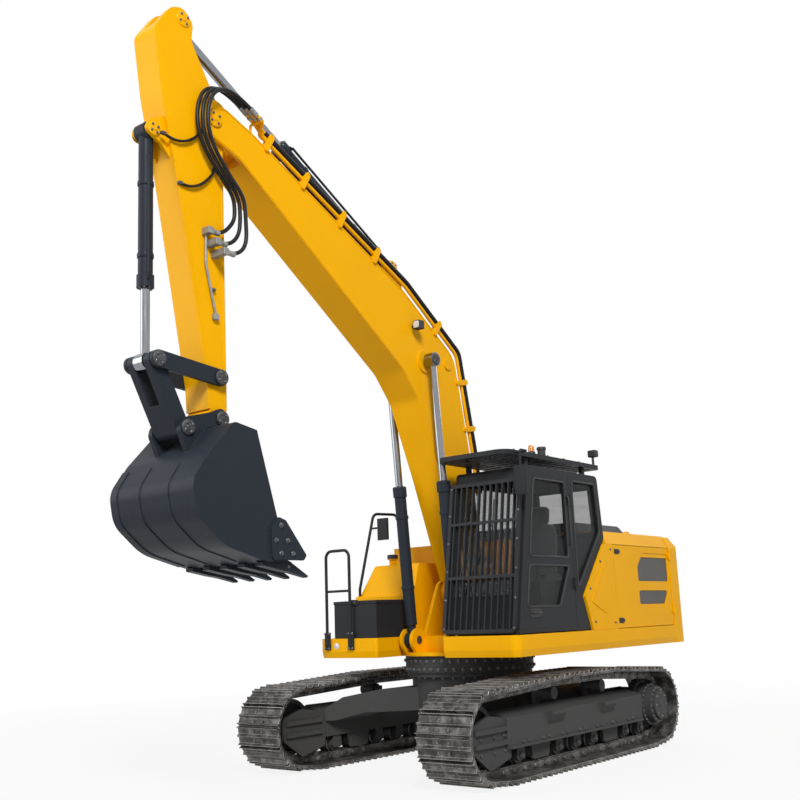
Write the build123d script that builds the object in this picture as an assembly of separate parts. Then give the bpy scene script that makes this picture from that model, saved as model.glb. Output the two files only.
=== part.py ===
from build123d import *
import math
import os

# Crawler excavator in millimetres. X forward, Y to the machine's left, Z up.
# The origin is on the slew axis at ground level.

# Fits and plates
GAP = 0.5
PIN_FIT = 0.05
HINGE_PIN = 8
HINGE_SPREAD = 60
WALL = 40
PLATE = 20

# Crawler tracks
GAUGE = 2380
SHOE_WIDTH = 600
SHOE_COUNT = 48
TUMBLER_DISTANCE = 3480
TUMBLER_HEIGHT = 450
TUMBLER_TREAD = 285
LUG_HEIGHT = 28
SHOE_THICKNESS = 14
LINK_HEIGHT = 93
CHAIN_WIDTH = 190
ROLLER_RADIUS = 80
ROLLER_WIDTH = 200
ROLLER_COUNT = 9
ROLLER_SPAN = 2880
CARRIER_RADIUS = 65
CARRIER_TOP = 800
CARRIER_X = (350, -670)

# Track frames and carbody
FRAME_BOTTOM = 305
FRAME_SHOULDER = 585
FRAME_RIDGE = 645
FRAME_INNER = 150
FRAME_OUTER = 195
CARBODY_BOTTOM = 470
CARBODY_TOP = 780
PEDESTAL_RADIUS = 650
SLEW_BASE = 940
SLEW_MID = 1010
SLEW_RADIUS = 720

# Upper structure
DECK_BOTTOM = 1120
DECK_TOP = 1330
DECK_HALF = 1360
DECK_FRONT = 1090
DECK_REAR = -2530
TAIL_LENGTH = 420
TAIL_X = DECK_REAR - TAIL_LENGTH
HOUSE_TOP = 2430
HOUSE_SHOULDER = HOUSE_TOP - 150
HOOD_TOP = HOUSE_TOP + 150
HOOD_FRONT = -1000
HOOD_REAR = -2330
HOOD_LEFT = 900
HOOD_RIGHT = -800
SKIN_OUT = DECK_HALF - 10
DOOR_SEAM_X = -1050
PUMP_SEAM_X = -1560
SKIRT = 70
TRAY_WALL = 30
BOX_TOP = DECK_TOP + 370
TANK_LEDGE = DECK_TOP + 470
TANK_TOP = DECK_TOP + 820
TANK_FRONT = 440
RAIL_RADIUS = 17

# Cab
CAB_LEFT = DECK_HALF - 30
CAB_RIGHT = 425
CAB_FLOOR = DECK_TOP + 10
CAB_ROOF = 3050
CAB_SILL = CAB_FLOOR + (CAB_ROOF - CAB_FLOOR) * 0.45
CAB_FRONT_LOW = 1000
CAB_FRONT_TOP = 670
CAB_REAR_TOP = -820
CAB_REAR_MID = (-885, CAB_FLOOR + (CAB_ROOF - CAB_FLOOR) * 0.59)
CAB_NOTCH = (-310, CAB_FLOOR + 360)
CAB_REAR_LOW = -450
DOOR_REAR = -150
ROOF_GUARD_LOW = CAB_ROOF + 100
ROOF_GUARD_TOP = CAB_ROOF + 150

# Working pivots as side-view points
BOOM_FOOT = (50, 1800)
BOOM_TIP = (3940, 6120)
BOOM_HALF = 200
ARM_HALF = 150
ARM_EAR = (4275, 7010)
ARM_TIP = (3850, 3290)
BOOM_CYL_FOOT = (630, 1290)
BOOM_CYL_EYE = (880, 4330)
BOOM_CYL_Y = 310
ARM_CYL_FOOT = (1300, 5360)
BUCKET_CYL_FOOT = (4555, 5820)
ROCKER_PIVOT = (3850, 3665)
LINK_TOP = (4520, 3725)
LINK_LOW = (4228, 3170)
PIN_RADIUS = 45
BARREL_NECK = 165
BUCKET_HALF = 550
TOOTH_COUNT = 5
TOOTH_WIDTH = 92
CUTTER = 25
STRIP = 8
PIPE_RADIUS = 20
PIPE_Y = 190
CLAMP_HALF = 34
PIPE_STANDOFF = (70, 135)
HOSE_RADIUS = 19


def outline(points, radii=0):
    """Flat face round a closed row of side-view points with rounded corners."""
    return make_face(FilletPolyline(*points, radius=radii, close=True))


def slab(face, y_low, y_high):
    """Side-view face made solid from y_low to y_high."""
    return extrude(Plane.XZ.offset(-y_high) * face, amount=y_high - y_low)


def flat(points, z_low, z_high, radii=0):
    """Plan-view outline made solid from z_low to z_high."""
    return extrude(Plane.XY.offset(z_low) * outline(points, radii), amount=z_high - z_low)


def rail(points, x_low, x_high):
    """Front-view outline made solid from x_low to x_high."""
    return extrude(Plane.YZ.offset(x_low) * outline(points), amount=x_high - x_low)


def block(x, y, z):
    """Box between pairs of limits."""
    size = [high - low for low, high in (x, y, z)]
    return Pos(x[0], y[0], z[0]) * Box(*size, align=(Align.MIN,) * 3)


def bar(point, radius, y_low, y_high):
    """Round bar across the machine at a side-view point."""
    return slab(Pos(*point) * Circle(radius), y_low, y_high)


def post(x, y, radius, z_low, z_high):
    """Upright round bar."""
    return Pos(x, y, z_low) * Cylinder(radius, z_high - z_low, align=(Align.CENTER, Align.CENTER, Align.MIN))


def tube(points, radius, bend):
    """Round tube along a path with tangent bends."""
    path = FilletPolyline(*points, radius=bend) if len(points) > 2 else Line(*points)
    return sweep(Plane(origin=path @ 0, z_dir=path % 0) * Circle(radius), path=path)


def plate(circles, y_low, y_high):
    """Plate whose edge is drawn tight round circles given as side-view point and radius."""
    rounds = [Edge.make_circle(radius, Plane((x, z, 0))) for x, z, radius in circles]
    return slab(make_hull(rounds), y_low, y_high)


def both(solids):
    """The pieces and their mirror images across the centre plane."""
    return solids + [mirror(solid, about=Plane.XZ) for solid in solids]


def along(start, end, distance):
    """Side-view point at a distance from start towards end."""
    length = math.dist(start, end)
    return tuple(a + (b - a) * distance / length for a, b in zip(start, end))


def spindle(start, end, y, radius, begin, finish):
    """Round bar in the plane y on the line start to end, between two distances."""
    low = along(start, end, begin)
    high = along(start, end, finish)
    axis = Vector(high[0] - low[0], 0, high[1] - low[1])
    place = Plane(origin=(low[0], y, low[1]), z_dir=axis)
    return extrude(place * Circle(radius), amount=axis.length)


def barrel(foot, eye, y, radius, bore, length, half):
    """Cylinder barrel with its foot eye, neck and gland, hollow for the rod."""
    gland = radius * 1.18
    body = spindle(foot, eye, y, min(radius, half - 4), PIN_RADIUS, BARREL_NECK + 20)
    body += spindle(foot, eye, y, radius, BARREL_NECK, length)
    body += spindle(foot, eye, y, gland, length - 110, length)
    body += bar(foot, PIN_RADIUS * 1.9, y - half, y + half)
    body -= spindle(foot, eye, y, radius - 14, BARREL_NECK + 30, length - 60)
    body -= spindle(foot, eye, y, bore, length - 100, length + 10)
    return body - bar(foot, PIN_RADIUS + PIN_FIT, y - half - 1, y + half + 1)


def rod(foot, eye, y, radius, start, half):
    """Piston rod with its eye, a pin held in the eye."""
    length = math.dist(foot, eye)
    body = spindle(foot, eye, y, radius, start, length)
    return body + bar(eye, PIN_RADIUS * 1.8, y - half, y + half)


def fixed_leaf(place, spread, side, reach=45):
    """Hinge pin with the leaves that hold its ends, pin along local Z, panel at local -Y."""
    leaf = HINGE_PIN * 2
    pin = Cylinder(HINGE_PIN, spread * 2)
    for end in (1, -1):
        pin += Pos(0, 0, end * spread * 0.8) * Cylinder(leaf, spread * 0.4)
        x = sorted((0, side * reach))
        z = sorted((end * spread * 0.6, end * spread))
        pin += block(x, (-leaf - GAP * 2, -leaf + 8), z)
    return place * pin


def moving_leaf(place, spread, side, reach=45):
    """Knuckle and leaf that turn on a fixed hinge pin."""
    leaf = HINGE_PIN * 2
    half = spread * 0.6 - GAP
    knuckle = Cylinder(leaf, half * 2) + block(sorted((0, side * reach)), (-leaf, -leaf + 8), (-half, half))
    return place * (knuckle - Cylinder(HINGE_PIN + PIN_FIT, spread * 3))


def save(name, solids):
    """Writes one node."""
    shape = solids[0] if len(solids) == 1 else Compound(solids)
    export_step(shape, f"parts/{name}.step")


# Crawler tracks

TRACK_Y = GAUGE / 2
STACK = LINK_HEIGHT + SHOE_THICKNESS + LUG_HEIGHT
ROLLER_Z = STACK + ROLLER_RADIUS
TUMBLER_X = TUMBLER_DISTANCE / 2
ROLLER_STEP = ROLLER_SPAN / (ROLLER_COUNT - 1)
ROLLER_X = [ROLLER_STEP * i - ROLLER_SPAN / 2 for i in range(ROLLER_COUNT)]
CARRIER_Z = CARRIER_TOP - CARRIER_RADIUS


def belt(depth):
    """Loop round the idler, sprocket and rollers, depth outside their treads."""
    wheels = [(x, TUMBLER_HEIGHT, TUMBLER_TREAD) for x in (TUMBLER_X, -TUMBLER_X)]
    wheels += [(x, ROLLER_Z, ROLLER_RADIUS) for x in (ROLLER_X[0], ROLLER_X[-1])]
    wheels += [(x, CARRIER_Z, CARRIER_RADIUS) for x in CARRIER_X]
    circles = [Edge.make_circle(radius + depth, Plane((x, z, 0))) for x, z, radius in wheels]
    return make_hull(circles)


def shoe_outline():
    """Row of triple-lug shoes round the loop."""
    path = belt(LINK_HEIGHT).wire()
    half = path.length / SHOE_COUNT / 2 - 3
    crown = SHOE_THICKNESS + LUG_HEIGHT
    lug = 22
    shape = [(-half, 0), (-half + 4, crown), (-half + lug, SHOE_THICKNESS)]
    shape += [(-lug, SHOE_THICKNESS), (0, crown), (lug, SHOE_THICKNESS)]
    shape += [(half - lug, SHOE_THICKNESS), (half - 4, crown), (half, 0)]
    points = []
    for i in range(SHOE_COUNT):
        place = (i + 0.5) / SHOE_COUNT
        centre = path.position_at(place)
        run = path.tangent_at(place)
        out = Vector(run.Y, -run.X)
        if out.dot(centre - Vector(0, TUMBLER_HEIGHT)) < 0:
            out = out * -1
        points += [centre + run * s + out * t for s, t in shape]
    return make_face(Polyline(*points, close=True))


def track():
    """Left crawler track."""
    shoes = slab(shoe_outline(), TRACK_Y - SHOE_WIDTH / 2, TRACK_Y + SHOE_WIDTH / 2)
    shoes -= slab(belt(LINK_HEIGHT - 8), TRACK_Y - SHOE_WIDTH, TRACK_Y + SHOE_WIDTH)
    chain = slab(belt(LINK_HEIGHT - 2), TRACK_Y - CHAIN_WIDTH / 2, TRACK_Y + CHAIN_WIDTH / 2)
    chain -= slab(belt(GAP), TRACK_Y - CHAIN_WIDTH, TRACK_Y + CHAIN_WIDTH)
    return [shoes + chain]


def running_gear():
    """Rollers, idler and sprocket of the left side."""
    half = ROLLER_WIDTH / 2
    row = [bar((x, ROLLER_Z), ROLLER_RADIUS, TRACK_Y - half, TRACK_Y + half) for x in ROLLER_X]
    row += [bar((x, CARRIER_Z), CARRIER_RADIUS, TRACK_Y - half, TRACK_Y + half) for x in CARRIER_X]
    return row + [idler(), sprocket()]


def idler():
    """Left front idler."""
    centre = (TUMBLER_X, TUMBLER_HEIGHT)
    wheel = bar(centre, TUMBLER_TREAD, TRACK_Y - 80, TRACK_Y + 80)
    wheel -= bar(centre, TUMBLER_TREAD - 45, TRACK_Y + 35, TRACK_Y + 81)
    wheel -= bar(centre, TUMBLER_TREAD - 45, TRACK_Y - 81, TRACK_Y - 35)
    return wheel + bar(centre, 85, TRACK_Y - 85, TRACK_Y + 85)


SPROCKET_TEETH = 22
MOTOR_RADIUS = 190
DRIVE_STEPS = [(235, 44, 150), (205, 149, 235), (160, 234, 270), (MOTOR_RADIUS, -230, -44)]


def sprocket():
    """Left drive sprocket with its toothed rim and the stepped final drive."""
    centre = (-TUMBLER_X, TUMBLER_HEIGHT)
    wheel = bar(centre, TUMBLER_TREAD, TRACK_Y - 45, TRACK_Y + 45)
    notch = TUMBLER_TREAD * 0.075
    for i in range(SPROCKET_TEETH):
        turn = 2 * math.pi * i / SPROCKET_TEETH
        x = centre[0] + TUMBLER_TREAD * math.cos(turn)
        z = centre[1] + TUMBLER_TREAD * math.sin(turn)
        wheel -= bar((x, z), notch, TRACK_Y - 46, TRACK_Y + 46)
    for radius, low, high in DRIVE_STEPS:
        wheel += bar(centre, radius, TRACK_Y + low, TRACK_Y + high)
    return wheel


GUARDED_ROLLERS = (2, 6)
STEP_X = (-ROLLER_STEP * 1.5, ROLLER_STEP * 1.5)
RAIL_LIP = 22


def track_frame():
    """Left track frame with idler yoke, roller saddles, guards, steps and final drive flange."""
    inner = TRACK_Y - FRAME_INNER
    outer = TRACK_Y + FRAME_OUTER
    front = TUMBLER_X - TUMBLER_TREAD - 60
    rear = -TUMBLER_X + TUMBLER_TREAD + 60
    section = [(inner, FRAME_BOTTOM), (outer, FRAME_BOTTOM), (outer, FRAME_SHOULDER)]
    section += [(TRACK_Y + 20, FRAME_RIDGE), (inner, FRAME_SHOULDER)]
    frame = rail(section, rear, front)
    for side in (1, -1):
        frame += saddles(side)
        frame += idler_yoke(side, front)
    for x in STEP_X:
        step = [(outer - 5, FRAME_SHOULDER), (outer + 70, FRAME_SHOULDER), (outer + 70, FRAME_SHOULDER - 30)]
        frame += rail(step + [(outer - 5, FRAME_SHOULDER - 130)], x - 130, x + 130)
    lip = (FRAME_BOTTOM, FRAME_BOTTOM + RAIL_LIP)
    frame += block((rear + 20, front - 20), (outer - 5, outer + RAIL_LIP), lip)
    frame += block((-TUMBLER_X, rear + 50), (inner - 100, inner - 70), (FRAME_BOTTOM, FRAME_RIDGE))
    frame += block((rear, rear + 50), (inner - 100, inner + 5), (FRAME_BOTTOM, FRAME_SHOULDER))
    for x in CARRIER_X:
        carrier = (inner + 5, TRACK_Y - ROLLER_WIDTH / 2 - 4)
        frame += block((x - 45, x + 45), carrier, (FRAME_SHOULDER, CARRIER_Z + 40))
    frame -= bar((-TUMBLER_X, TUMBLER_HEIGHT), MOTOR_RADIUS + GAP, inner - 110, inner - 60)
    return [frame]


def saddles(side):
    """Bearing caps of the rollers on one side of the frame, two of them grown into chain guards."""
    edge = TRACK_Y + side * (ROLLER_WIDTH / 2 + 6)
    depth = sorted((edge, edge + side * 26))
    row = []
    for i, x in enumerate(ROLLER_X):
        wide = ROLLER_STEP * (0.36 if i in GUARDED_ROLLERS else 0.1)
        low = ROLLER_Z - ROLLER_RADIUS * (0.5 if i in GUARDED_ROLLERS else 0)
        tip = ROLLER_RADIUS * (0.25 if i in GUARDED_ROLLERS else 0.5)
        circles = [(x - wide, low, tip), (x + wide, low, tip)]
        circles += [(x - wide * 1.3, FRAME_BOTTOM, 8), (x + wide * 1.3, FRAME_BOTTOM, 8)]
        row.append(plate(circles, *depth))
    return row


def idler_yoke(side, front):
    """Fork arm beside the idler, with a covering plate and two ribs on its outer face."""
    near = TRACK_Y + side * 92
    mid = near + side * 45
    far = mid + side * 36
    height = (TUMBLER_HEIGHT - 80, TUMBLER_HEIGHT + 60)
    arm = block((front - 200, TUMBLER_X + 120), sorted((near, mid)), height)
    cover = [(front - 60, FRAME_SHOULDER - 30, 25), (TUMBLER_X - 90, FRAME_SHOULDER, 40)]
    cover += [(TUMBLER_X + 150, TUMBLER_HEIGHT + 60, 50), (TUMBLER_X + 140, TUMBLER_HEIGHT - 100, 50)]
    cover += [(TUMBLER_X - 90, FRAME_BOTTOM - 120, 40), (front - 60, FRAME_BOTTOM - 60, 25)]
    pieces = [arm, plate(cover, *sorted((mid - side, far)))]
    for z in (TUMBLER_HEIGHT - 75, TUMBLER_HEIGHT + 45):
        depth = sorted((far - side, far + side * 30))
        pieces.append(block((front - 20, TUMBLER_X + 170), depth, (z - 20, z + 20)))
    return pieces


def carbody():
    """Centre frame with four arched legs and the round pedestal."""
    reach = TRACK_Y - FRAME_INNER - GAP
    foot = 1000
    width = 300
    legs = []
    for side in (1, -1):
        arm = [(-foot + width, -reach), (foot + width, reach), (foot - width, reach), (-foot - width, -reach)]
        legs.append(flat([(x, y * side) for x, y in arm], CARBODY_BOTTOM, CARBODY_TOP))
    body = legs[0] + legs[1]
    over = CARBODY_TOP + 100
    fall = [(0, over), (reach + 10, over), (reach + 10, FRAME_SHOULDER), (reach * 0.86, CARBODY_TOP - 70)]
    fall += [(PEDESTAL_RADIUS * 0.9, CARBODY_TOP), (0, CARBODY_TOP)]
    arch = [(0, CARBODY_BOTTOM + 70), (reach * 0.7, CARBODY_BOTTOM + 70), (reach * 0.95, CARBODY_BOTTOM - 10)]
    for side in (1, -1):
        for cut in (fall, arch + [(0, CARBODY_BOTTOM - 10)]):
            body -= rail([(y * side, z) for y, z in cut], -foot * 2, foot * 2)
    body += post(0, 0, PEDESTAL_RADIUS, CARBODY_BOTTOM + 40, SLEW_BASE)
    body += post(0, 0, SLEW_RADIUS - 20, SLEW_BASE - 45, SLEW_BASE)
    return [body]


def slew_ring(low, high):
    """Half of the slew bearing."""
    return [post(0, 0, SLEW_RADIUS, low, high) - post(0, 0, SLEW_RADIUS - 150, low - 1, high + 1)]


# Upper structure

BRACKET_IN = BOOM_HALF + 15
BRACKET_OUT = BOOM_CYL_Y - 55 - GAP
CYL_OUT = BOOM_CYL_Y + 55 + GAP
EAR = 30
MOUTH_HALF = CYL_OUT + EAR + 45
MOUTH_REAR = BOOM_CYL_FOOT[0] - 110
SKIRT_SLOPE = 12
CAB_PAD = 60


def deck():
    """Swing frame: open tray forked at the front, centre beams, boom and cylinder brackets."""
    plan = [(DECK_FRONT, DECK_HALF), (DECK_REAR, DECK_HALF), (DECK_REAR, -DECK_HALF)]
    plan += [(DECK_FRONT, -DECK_HALF), (DECK_FRONT, -MOUTH_HALF), (MOUTH_REAR, -MOUTH_HALF)]
    plan += [(MOUTH_REAR, MOUTH_HALF), (DECK_FRONT, MOUTH_HALF)]
    corners = [90, 0, 0, 200, 30, 60, 60, 30]
    crease = Plane.XY.offset(DECK_BOTTOM + SKIRT)
    tray = extrude(crease * outline(plan, corners), amount=DECK_TOP - DECK_BOTTOM - SKIRT)
    tray += extrude(crease * outline(plan, corners), amount=-SKIRT, taper=SKIRT_SLOPE)
    inside = offset(outline(plan, corners), -TRAY_WALL)
    tray -= extrude(Plane.XY.offset(DECK_BOTTOM - 1) * inside, amount=DECK_TOP - DECK_BOTTOM - PLATE + 1)
    tray += post(0, 0, SLEW_RADIUS + 40, DECK_BOTTOM, DECK_BOTTOM + 2 * PLATE)
    foot_x, foot_z = BOOM_CYL_FOOT
    for side in (1, -1):
        for low, high in ((BRACKET_IN, BRACKET_OUT), (CYL_OUT, CYL_OUT + EAR)):
            y = sorted((side * low, side * high))
            tray += block((DECK_REAR + TRAY_WALL, MOUTH_REAR), y, (DECK_BOTTOM, DECK_TOP - 5))
            root = [(MOUTH_REAR - 20, DECK_BOTTOM + 12, 12), (MOUTH_REAR - 20, DECK_TOP - 12, 12)]
            tray += plate([(foot_x, foot_z, PIN_RADIUS * 2.8), (foot_x, DECK_BOTTOM + 40, 40)] + root, *y)
        foot = [(-420, DECK_TOP - 5), (MOUTH_REAR, DECK_TOP - 5), (BOOM_FOOT[0] + 180, BOOM_FOOT[1] + 100)]
        foot += [(BOOM_FOOT[0] + 10, BOOM_FOOT[1] + 190), (BOOM_FOOT[0] - 180, BOOM_FOOT[1] + 100)]
        tray += slab(outline(foot, [0, 0, 80, 120, 80]), *sorted((side * BRACKET_IN, side * BRACKET_OUT)))
    tray -= bar(BOOM_FOOT, PIN_RADIUS + PIN_FIT, -CYL_OUT, CYL_OUT)
    tray -= bar(BOOM_CYL_FOOT, PIN_RADIUS + PIN_FIT, -MOUTH_HALF, MOUTH_HALF)
    for x in (CAB_REAR_LOW + 100, CAB_FRONT_LOW - 150):
        for y in (CAB_RIGHT + 120, CAB_LEFT - 150):
            tray += post(x, y, CAB_PAD, DECK_TOP - 5, CAB_FLOOR - GAP)
    lamp_y = -DECK_HALF + 330
    return [tray - Pos(DECK_FRONT, lamp_y, DECK_TOP - 80) * Rot(0, 90, 0) * Cylinder(32, 40)]


def upper_pins():
    """Boom foot pin and the two boom cylinder foot pins."""
    pins = [bar(BOOM_FOOT, PIN_RADIUS, -BRACKET_OUT - 8, BRACKET_OUT + 8)]
    return pins + both([bar(BOOM_CYL_FOOT, PIN_RADIUS, BRACKET_IN - 5, CYL_OUT + 38)])


TAIL_SLOPE = TAIL_LENGTH * 0.28
SHOULDER_IN = 70
KNUCKLE_ROOM = 8
HINGE_Z = (DECK_TOP + 200, HOUSE_TOP - 240)


def counterweight():
    """Solid cast counterweight with a rounded tail, sloped edges, a rear recess and two lifting eyes."""
    bend = TAIL_LENGTH * 0.23
    plan = [(DECK_REAR - GAP, DECK_HALF), (TAIL_X + bend, DECK_HALF), (TAIL_X, DECK_HALF * 0.6)]
    plan += [(TAIL_X, -DECK_HALF * 0.6), (TAIL_X + bend, -DECK_HALF), (DECK_REAR - GAP, -DECK_HALF)]
    corner = TAIL_LENGTH * 0.38
    weight = flat(plan, DECK_BOTTOM, HOUSE_TOP - 10, [0, corner, corner * 2.4, corner * 2.4, corner, 0])
    wide = (-DECK_HALF - 10, DECK_HALF + 10)
    edge = TAIL_X - 10
    foot = TAIL_LENGTH * 0.15
    lower = [(edge, DECK_BOTTOM - 1), (TAIL_X + foot, DECK_BOTTOM - 1), (TAIL_X, DECK_BOTTOM + foot)]
    weight -= slab(outline(lower + [(edge, DECK_BOTTOM + foot)]), *wide)
    upper = [(edge, DECK_BOTTOM + 300), (TAIL_X, DECK_BOTTOM + 300), (TAIL_X + TAIL_SLOPE, HOUSE_TOP - 210)]
    upper += [(TAIL_X + TAIL_LENGTH * 0.66, HOUSE_TOP), (edge, HOUSE_TOP)]
    weight -= slab(outline(upper), *wide)
    pocket = (edge, TAIL_X + TAIL_SLOPE)
    weight -= block(pocket, (-DECK_HALF * 0.5, DECK_HALF * 0.5), (DECK_BOTTOM + 480, HOUSE_TOP - 420))
    for side in (1, -1):
        bevel = [(side * (DECK_HALF + 1), HOUSE_SHOULDER), (side * (DECK_HALF + 1), HOUSE_TOP)]
        weight -= rail(bevel + [(side * (DECK_HALF - SHOULDER_IN), HOUSE_TOP)], TAIL_X - 1, DECK_REAR)
    for z in HINGE_Z:
        place = Pos(DECK_REAR + 2, SKIN_OUT + HINGE_PIN * 2, z)
        weight -= place * Cylinder(HINGE_PIN * 2 + KNUCKLE_ROOM, HINGE_SPREAD * 1.2 + 2)
        weight += fixed_leaf(place, HINGE_SPREAD, -1)
    for y in (750, -750):
        x = DECK_REAR - TAIL_LENGTH * 0.2
        z = HOUSE_TOP + 50
        root = HOUSE_TOP - 40
        weight += plate([(x, z, 60), (x - 40, root, 20), (x + 40, root, 20)], y - 25, y + 25)
        weight -= bar((x, z), 30, y - 30, y + 30)
    return [weight]


def house_left():
    """Fixed left front panel with its pointed edge beside the cab and a folded rib along it."""
    top = along(*CHEVRON, math.dist(*CHEVRON) * CHEVRON_SHARE)
    side = [(CAB_REAR_LOW - 25, DECK_TOP + GAP), CHEVRON[0], top]
    side += [(DOOR_SEAM_X + 4, HOUSE_SHOULDER - GAP), (DOOR_SEAM_X + 4, DECK_TOP + GAP)]
    panel = slab(outline(side, [0, 30, 20, 0, 0]), SKIN_OUT - WALL, SKIN_OUT)
    nose_x, nose_z = CHEVRON[0]
    fold = [(nose_x - 120, nose_z - 60), (top[0] + 20, top[1] - 170), (DOOR_SEAM_X + 60, nose_z + 120)]
    fold.append((DOOR_SEAM_X + 260, nose_z - 200))
    return [panel + slab(outline(fold, 25), SKIN_OUT - 1, SKIN_OUT + 8)]


CHEVRON = [(CAB_NOTCH[0] - 25, CAB_NOTCH[1]), (-920, HOUSE_TOP - 40)]
CHEVRON_SHARE = (HOUSE_SHOULDER - GAP - CHEVRON[0][1]) / (CHEVRON[1][1] - CHEVRON[0][1])


BAY_REAR = DECK_REAR + 4


def bay_door(seam, top):
    """Outline of an engine-bay door from its seam to the counterweight."""
    return outline([(seam - 4, DECK_TOP + 6), (seam - 4, top), (BAY_REAR, top), (BAY_REAR, DECK_TOP + 6)])


GRILLES = [
    [(-1660, 1865), (BAY_REAR + 40, 1865), (BAY_REAR + 40, 2150), (-1770, 2150), (-1660, 2040)],
    [(-1660, 1595), (BAY_REAR + 190, 1595), (BAY_REAR + 60, 1755), (-1660, 1755)],
]
GRILLE_FIELD = [(-1620, 1545), (BAY_REAR + 215, 1545), (BAY_REAR + 25, 1770), (BAY_REAR + 25, 2200)]
GRILLE_FIELD += [(-1800, 2200), (-1620, 2060)]


def service_door():
    """Left engine-bay door hinged at the rear, with two grille openings in a pressed field."""
    panel = slab(bay_door(DOOR_SEAM_X, HOUSE_SHOULDER - 6), SKIN_OUT - WALL, SKIN_OUT)
    panel -= window(GRILLE_FIELD, SKIN_OUT - 8, SKIN_OUT + 1, 0)
    for opening in GRILLES:
        panel -= window(opening, SKIN_OUT - WALL - 1, SKIN_OUT + 1, 0)
    for z in HINGE_Z:
        panel += moving_leaf(Pos(DECK_REAR + 2, SKIN_OUT + HINGE_PIN * 2, z), HINGE_SPREAD, 1)
    return [panel]


def service_grilles():
    """Black mesh sheets in the left door's openings."""
    return [window(opening, SKIN_OUT - 30, SKIN_OUT - 18, GAP) for opening in GRILLES]


LOUVRES = 8
LOUVRE_STEP = 68


def pump_door():
    """Right pump-bay door with a louvred panel."""
    panel = slab(bay_door(PUMP_SEAM_X, HOUSE_TOP - 46), -SKIN_OUT, -SKIN_OUT + WALL)
    for i in range(LOUVRES):
        z = DECK_TOP + 300 + i * LOUVRE_STEP
        ends = (PUMP_SEAM_X - 140, BAY_REAR + 140)
        slot = [(ends[0], z), (ends[1], z), (ends[1], z + 34), (ends[0], z + 34)]
        panel -= slab(outline(slot, 15), -SKIN_OUT - 1, -SKIN_OUT + WALL + 1)
    for z in HINGE_Z:
        leaf = moving_leaf(Pos(PUMP_SEAM_X, SKIN_OUT + HINGE_PIN * 2, z), HINGE_SPREAD, -1)
        panel += mirror(leaf, about=Plane.XZ)
    return [panel]


HOOD_SLOTS = 9
HOOD_HINGES = (HOOD_RIGHT + 200, HOOD_LEFT - 200)


def hood_hinge(y):
    """Place of a hood hinge: pin along Y, ahead of the hood's front edge."""
    return Pos(HOOD_FRONT + 22, y, HOUSE_TOP + HINGE_PIN * 2 + GAP) * Rot(90, 0, 0)


def house_top():
    """Fixed roof of the engine house round the hood opening, with the front bulkhead."""
    roof = block((DECK_REAR + 1, -900), (-SKIN_OUT, SKIN_OUT), (HOUSE_TOP - 39, HOUSE_TOP))
    inset = SKIN_OUT - SHOULDER_IN
    ends = (DECK_REAR + 1, -900)
    roof -= block(ends, (inset - 1, SKIN_OUT + 1), (HOUSE_TOP - 40, HOUSE_TOP + 1))
    band = [(SKIN_OUT, HOUSE_SHOULDER), (inset, HOUSE_TOP), (inset - WALL, HOUSE_TOP)]
    roof += rail(band + [(inset - WALL, HOUSE_TOP - 39), (SKIN_OUT - WALL, HOUSE_SHOULDER)], *ends)
    bevel = [(-SKIN_OUT - 1, HOUSE_TOP - 30), (-SKIN_OUT - 1, HOUSE_TOP + 1), (-SKIN_OUT + 60, HOUSE_TOP + 1)]
    roof -= rail(bevel, *ends)
    hole = (HOOD_REAR + 60, HOOD_FRONT - 60), (HOOD_RIGHT + 60, HOOD_LEFT - 60)
    roof -= block(*hole, (HOUSE_TOP - 50, HOUSE_TOP + 1))
    wall = block((-940, -900), (-519, CAB_LEFT - 60), (DECK_TOP + GAP, HOUSE_TOP - 30))
    for y in HOOD_HINGES:
        roof += fixed_leaf(hood_hinge(y), HINGE_SPREAD, 1)
    return [roof + wall]


def hood():
    """Raised black engine hood with cooling slots and a dished shell."""
    base = HOUSE_TOP + GAP
    shape = [(HOOD_FRONT, base), (HOOD_FRONT - 60, HOOD_TOP), (HOOD_REAR + 90, HOOD_TOP), (HOOD_REAR, base)]
    lid = slab(outline(shape, [0, 40, 60, 0]), HOOD_RIGHT, HOOD_LEFT)
    for y, side in ((HOOD_RIGHT, 1), (HOOD_LEFT, -1)):
        slope = [(y - side, base + 20), (y - side, HOOD_TOP + 1), (y + side * 70, HOOD_TOP + 1)]
        lid -= rail(slope, HOOD_REAR - 10, HOOD_FRONT + 10)
    inside = (HOOD_REAR + 60, HOOD_FRONT - 70), (HOOD_RIGHT + 80, HOOD_LEFT - 80)
    lid -= block(*inside, (HOUSE_TOP, HOOD_TOP - 30))
    step = (HOOD_FRONT - HOOD_REAR - 300) / HOOD_SLOTS
    for i in range(HOOD_SLOTS):
        x = HOOD_REAR + 170 + step * i
        for low, high in ((HOOD_RIGHT + 130, -30), (30, HOOD_LEFT - 130)):
            slot = [(x, low), (x + step / 2, low), (x + step / 2, high), (x, high)]
            lid -= flat(slot, HOOD_TOP - 40, HOOD_TOP + 1, 12)
    for y in HOOD_HINGES:
        lid += moving_leaf(hood_hinge(y), HINGE_SPREAD, -1)
    return [lid]


def engine():
    """Engine as a plain block in its bay."""
    return [block((-2250, -1250), (-500, 650), (DECK_TOP + GAP, HOUSE_TOP - 180))]


def hydraulic_tank():
    """Right hydraulic tank behind the fuel tank."""
    tank = block((PUMP_SEAM_X + 4, -370), (-SKIN_OUT, -520), (DECK_TOP + GAP, HOUSE_TOP - 40))
    for z in HINGE_Z:
        leaf = fixed_leaf(Pos(PUMP_SEAM_X, SKIN_OUT + HINGE_PIN * 2, z), HINGE_SPREAD, 1)
        tank += mirror(leaf, about=Plane.XZ)
    return [tank]


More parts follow.
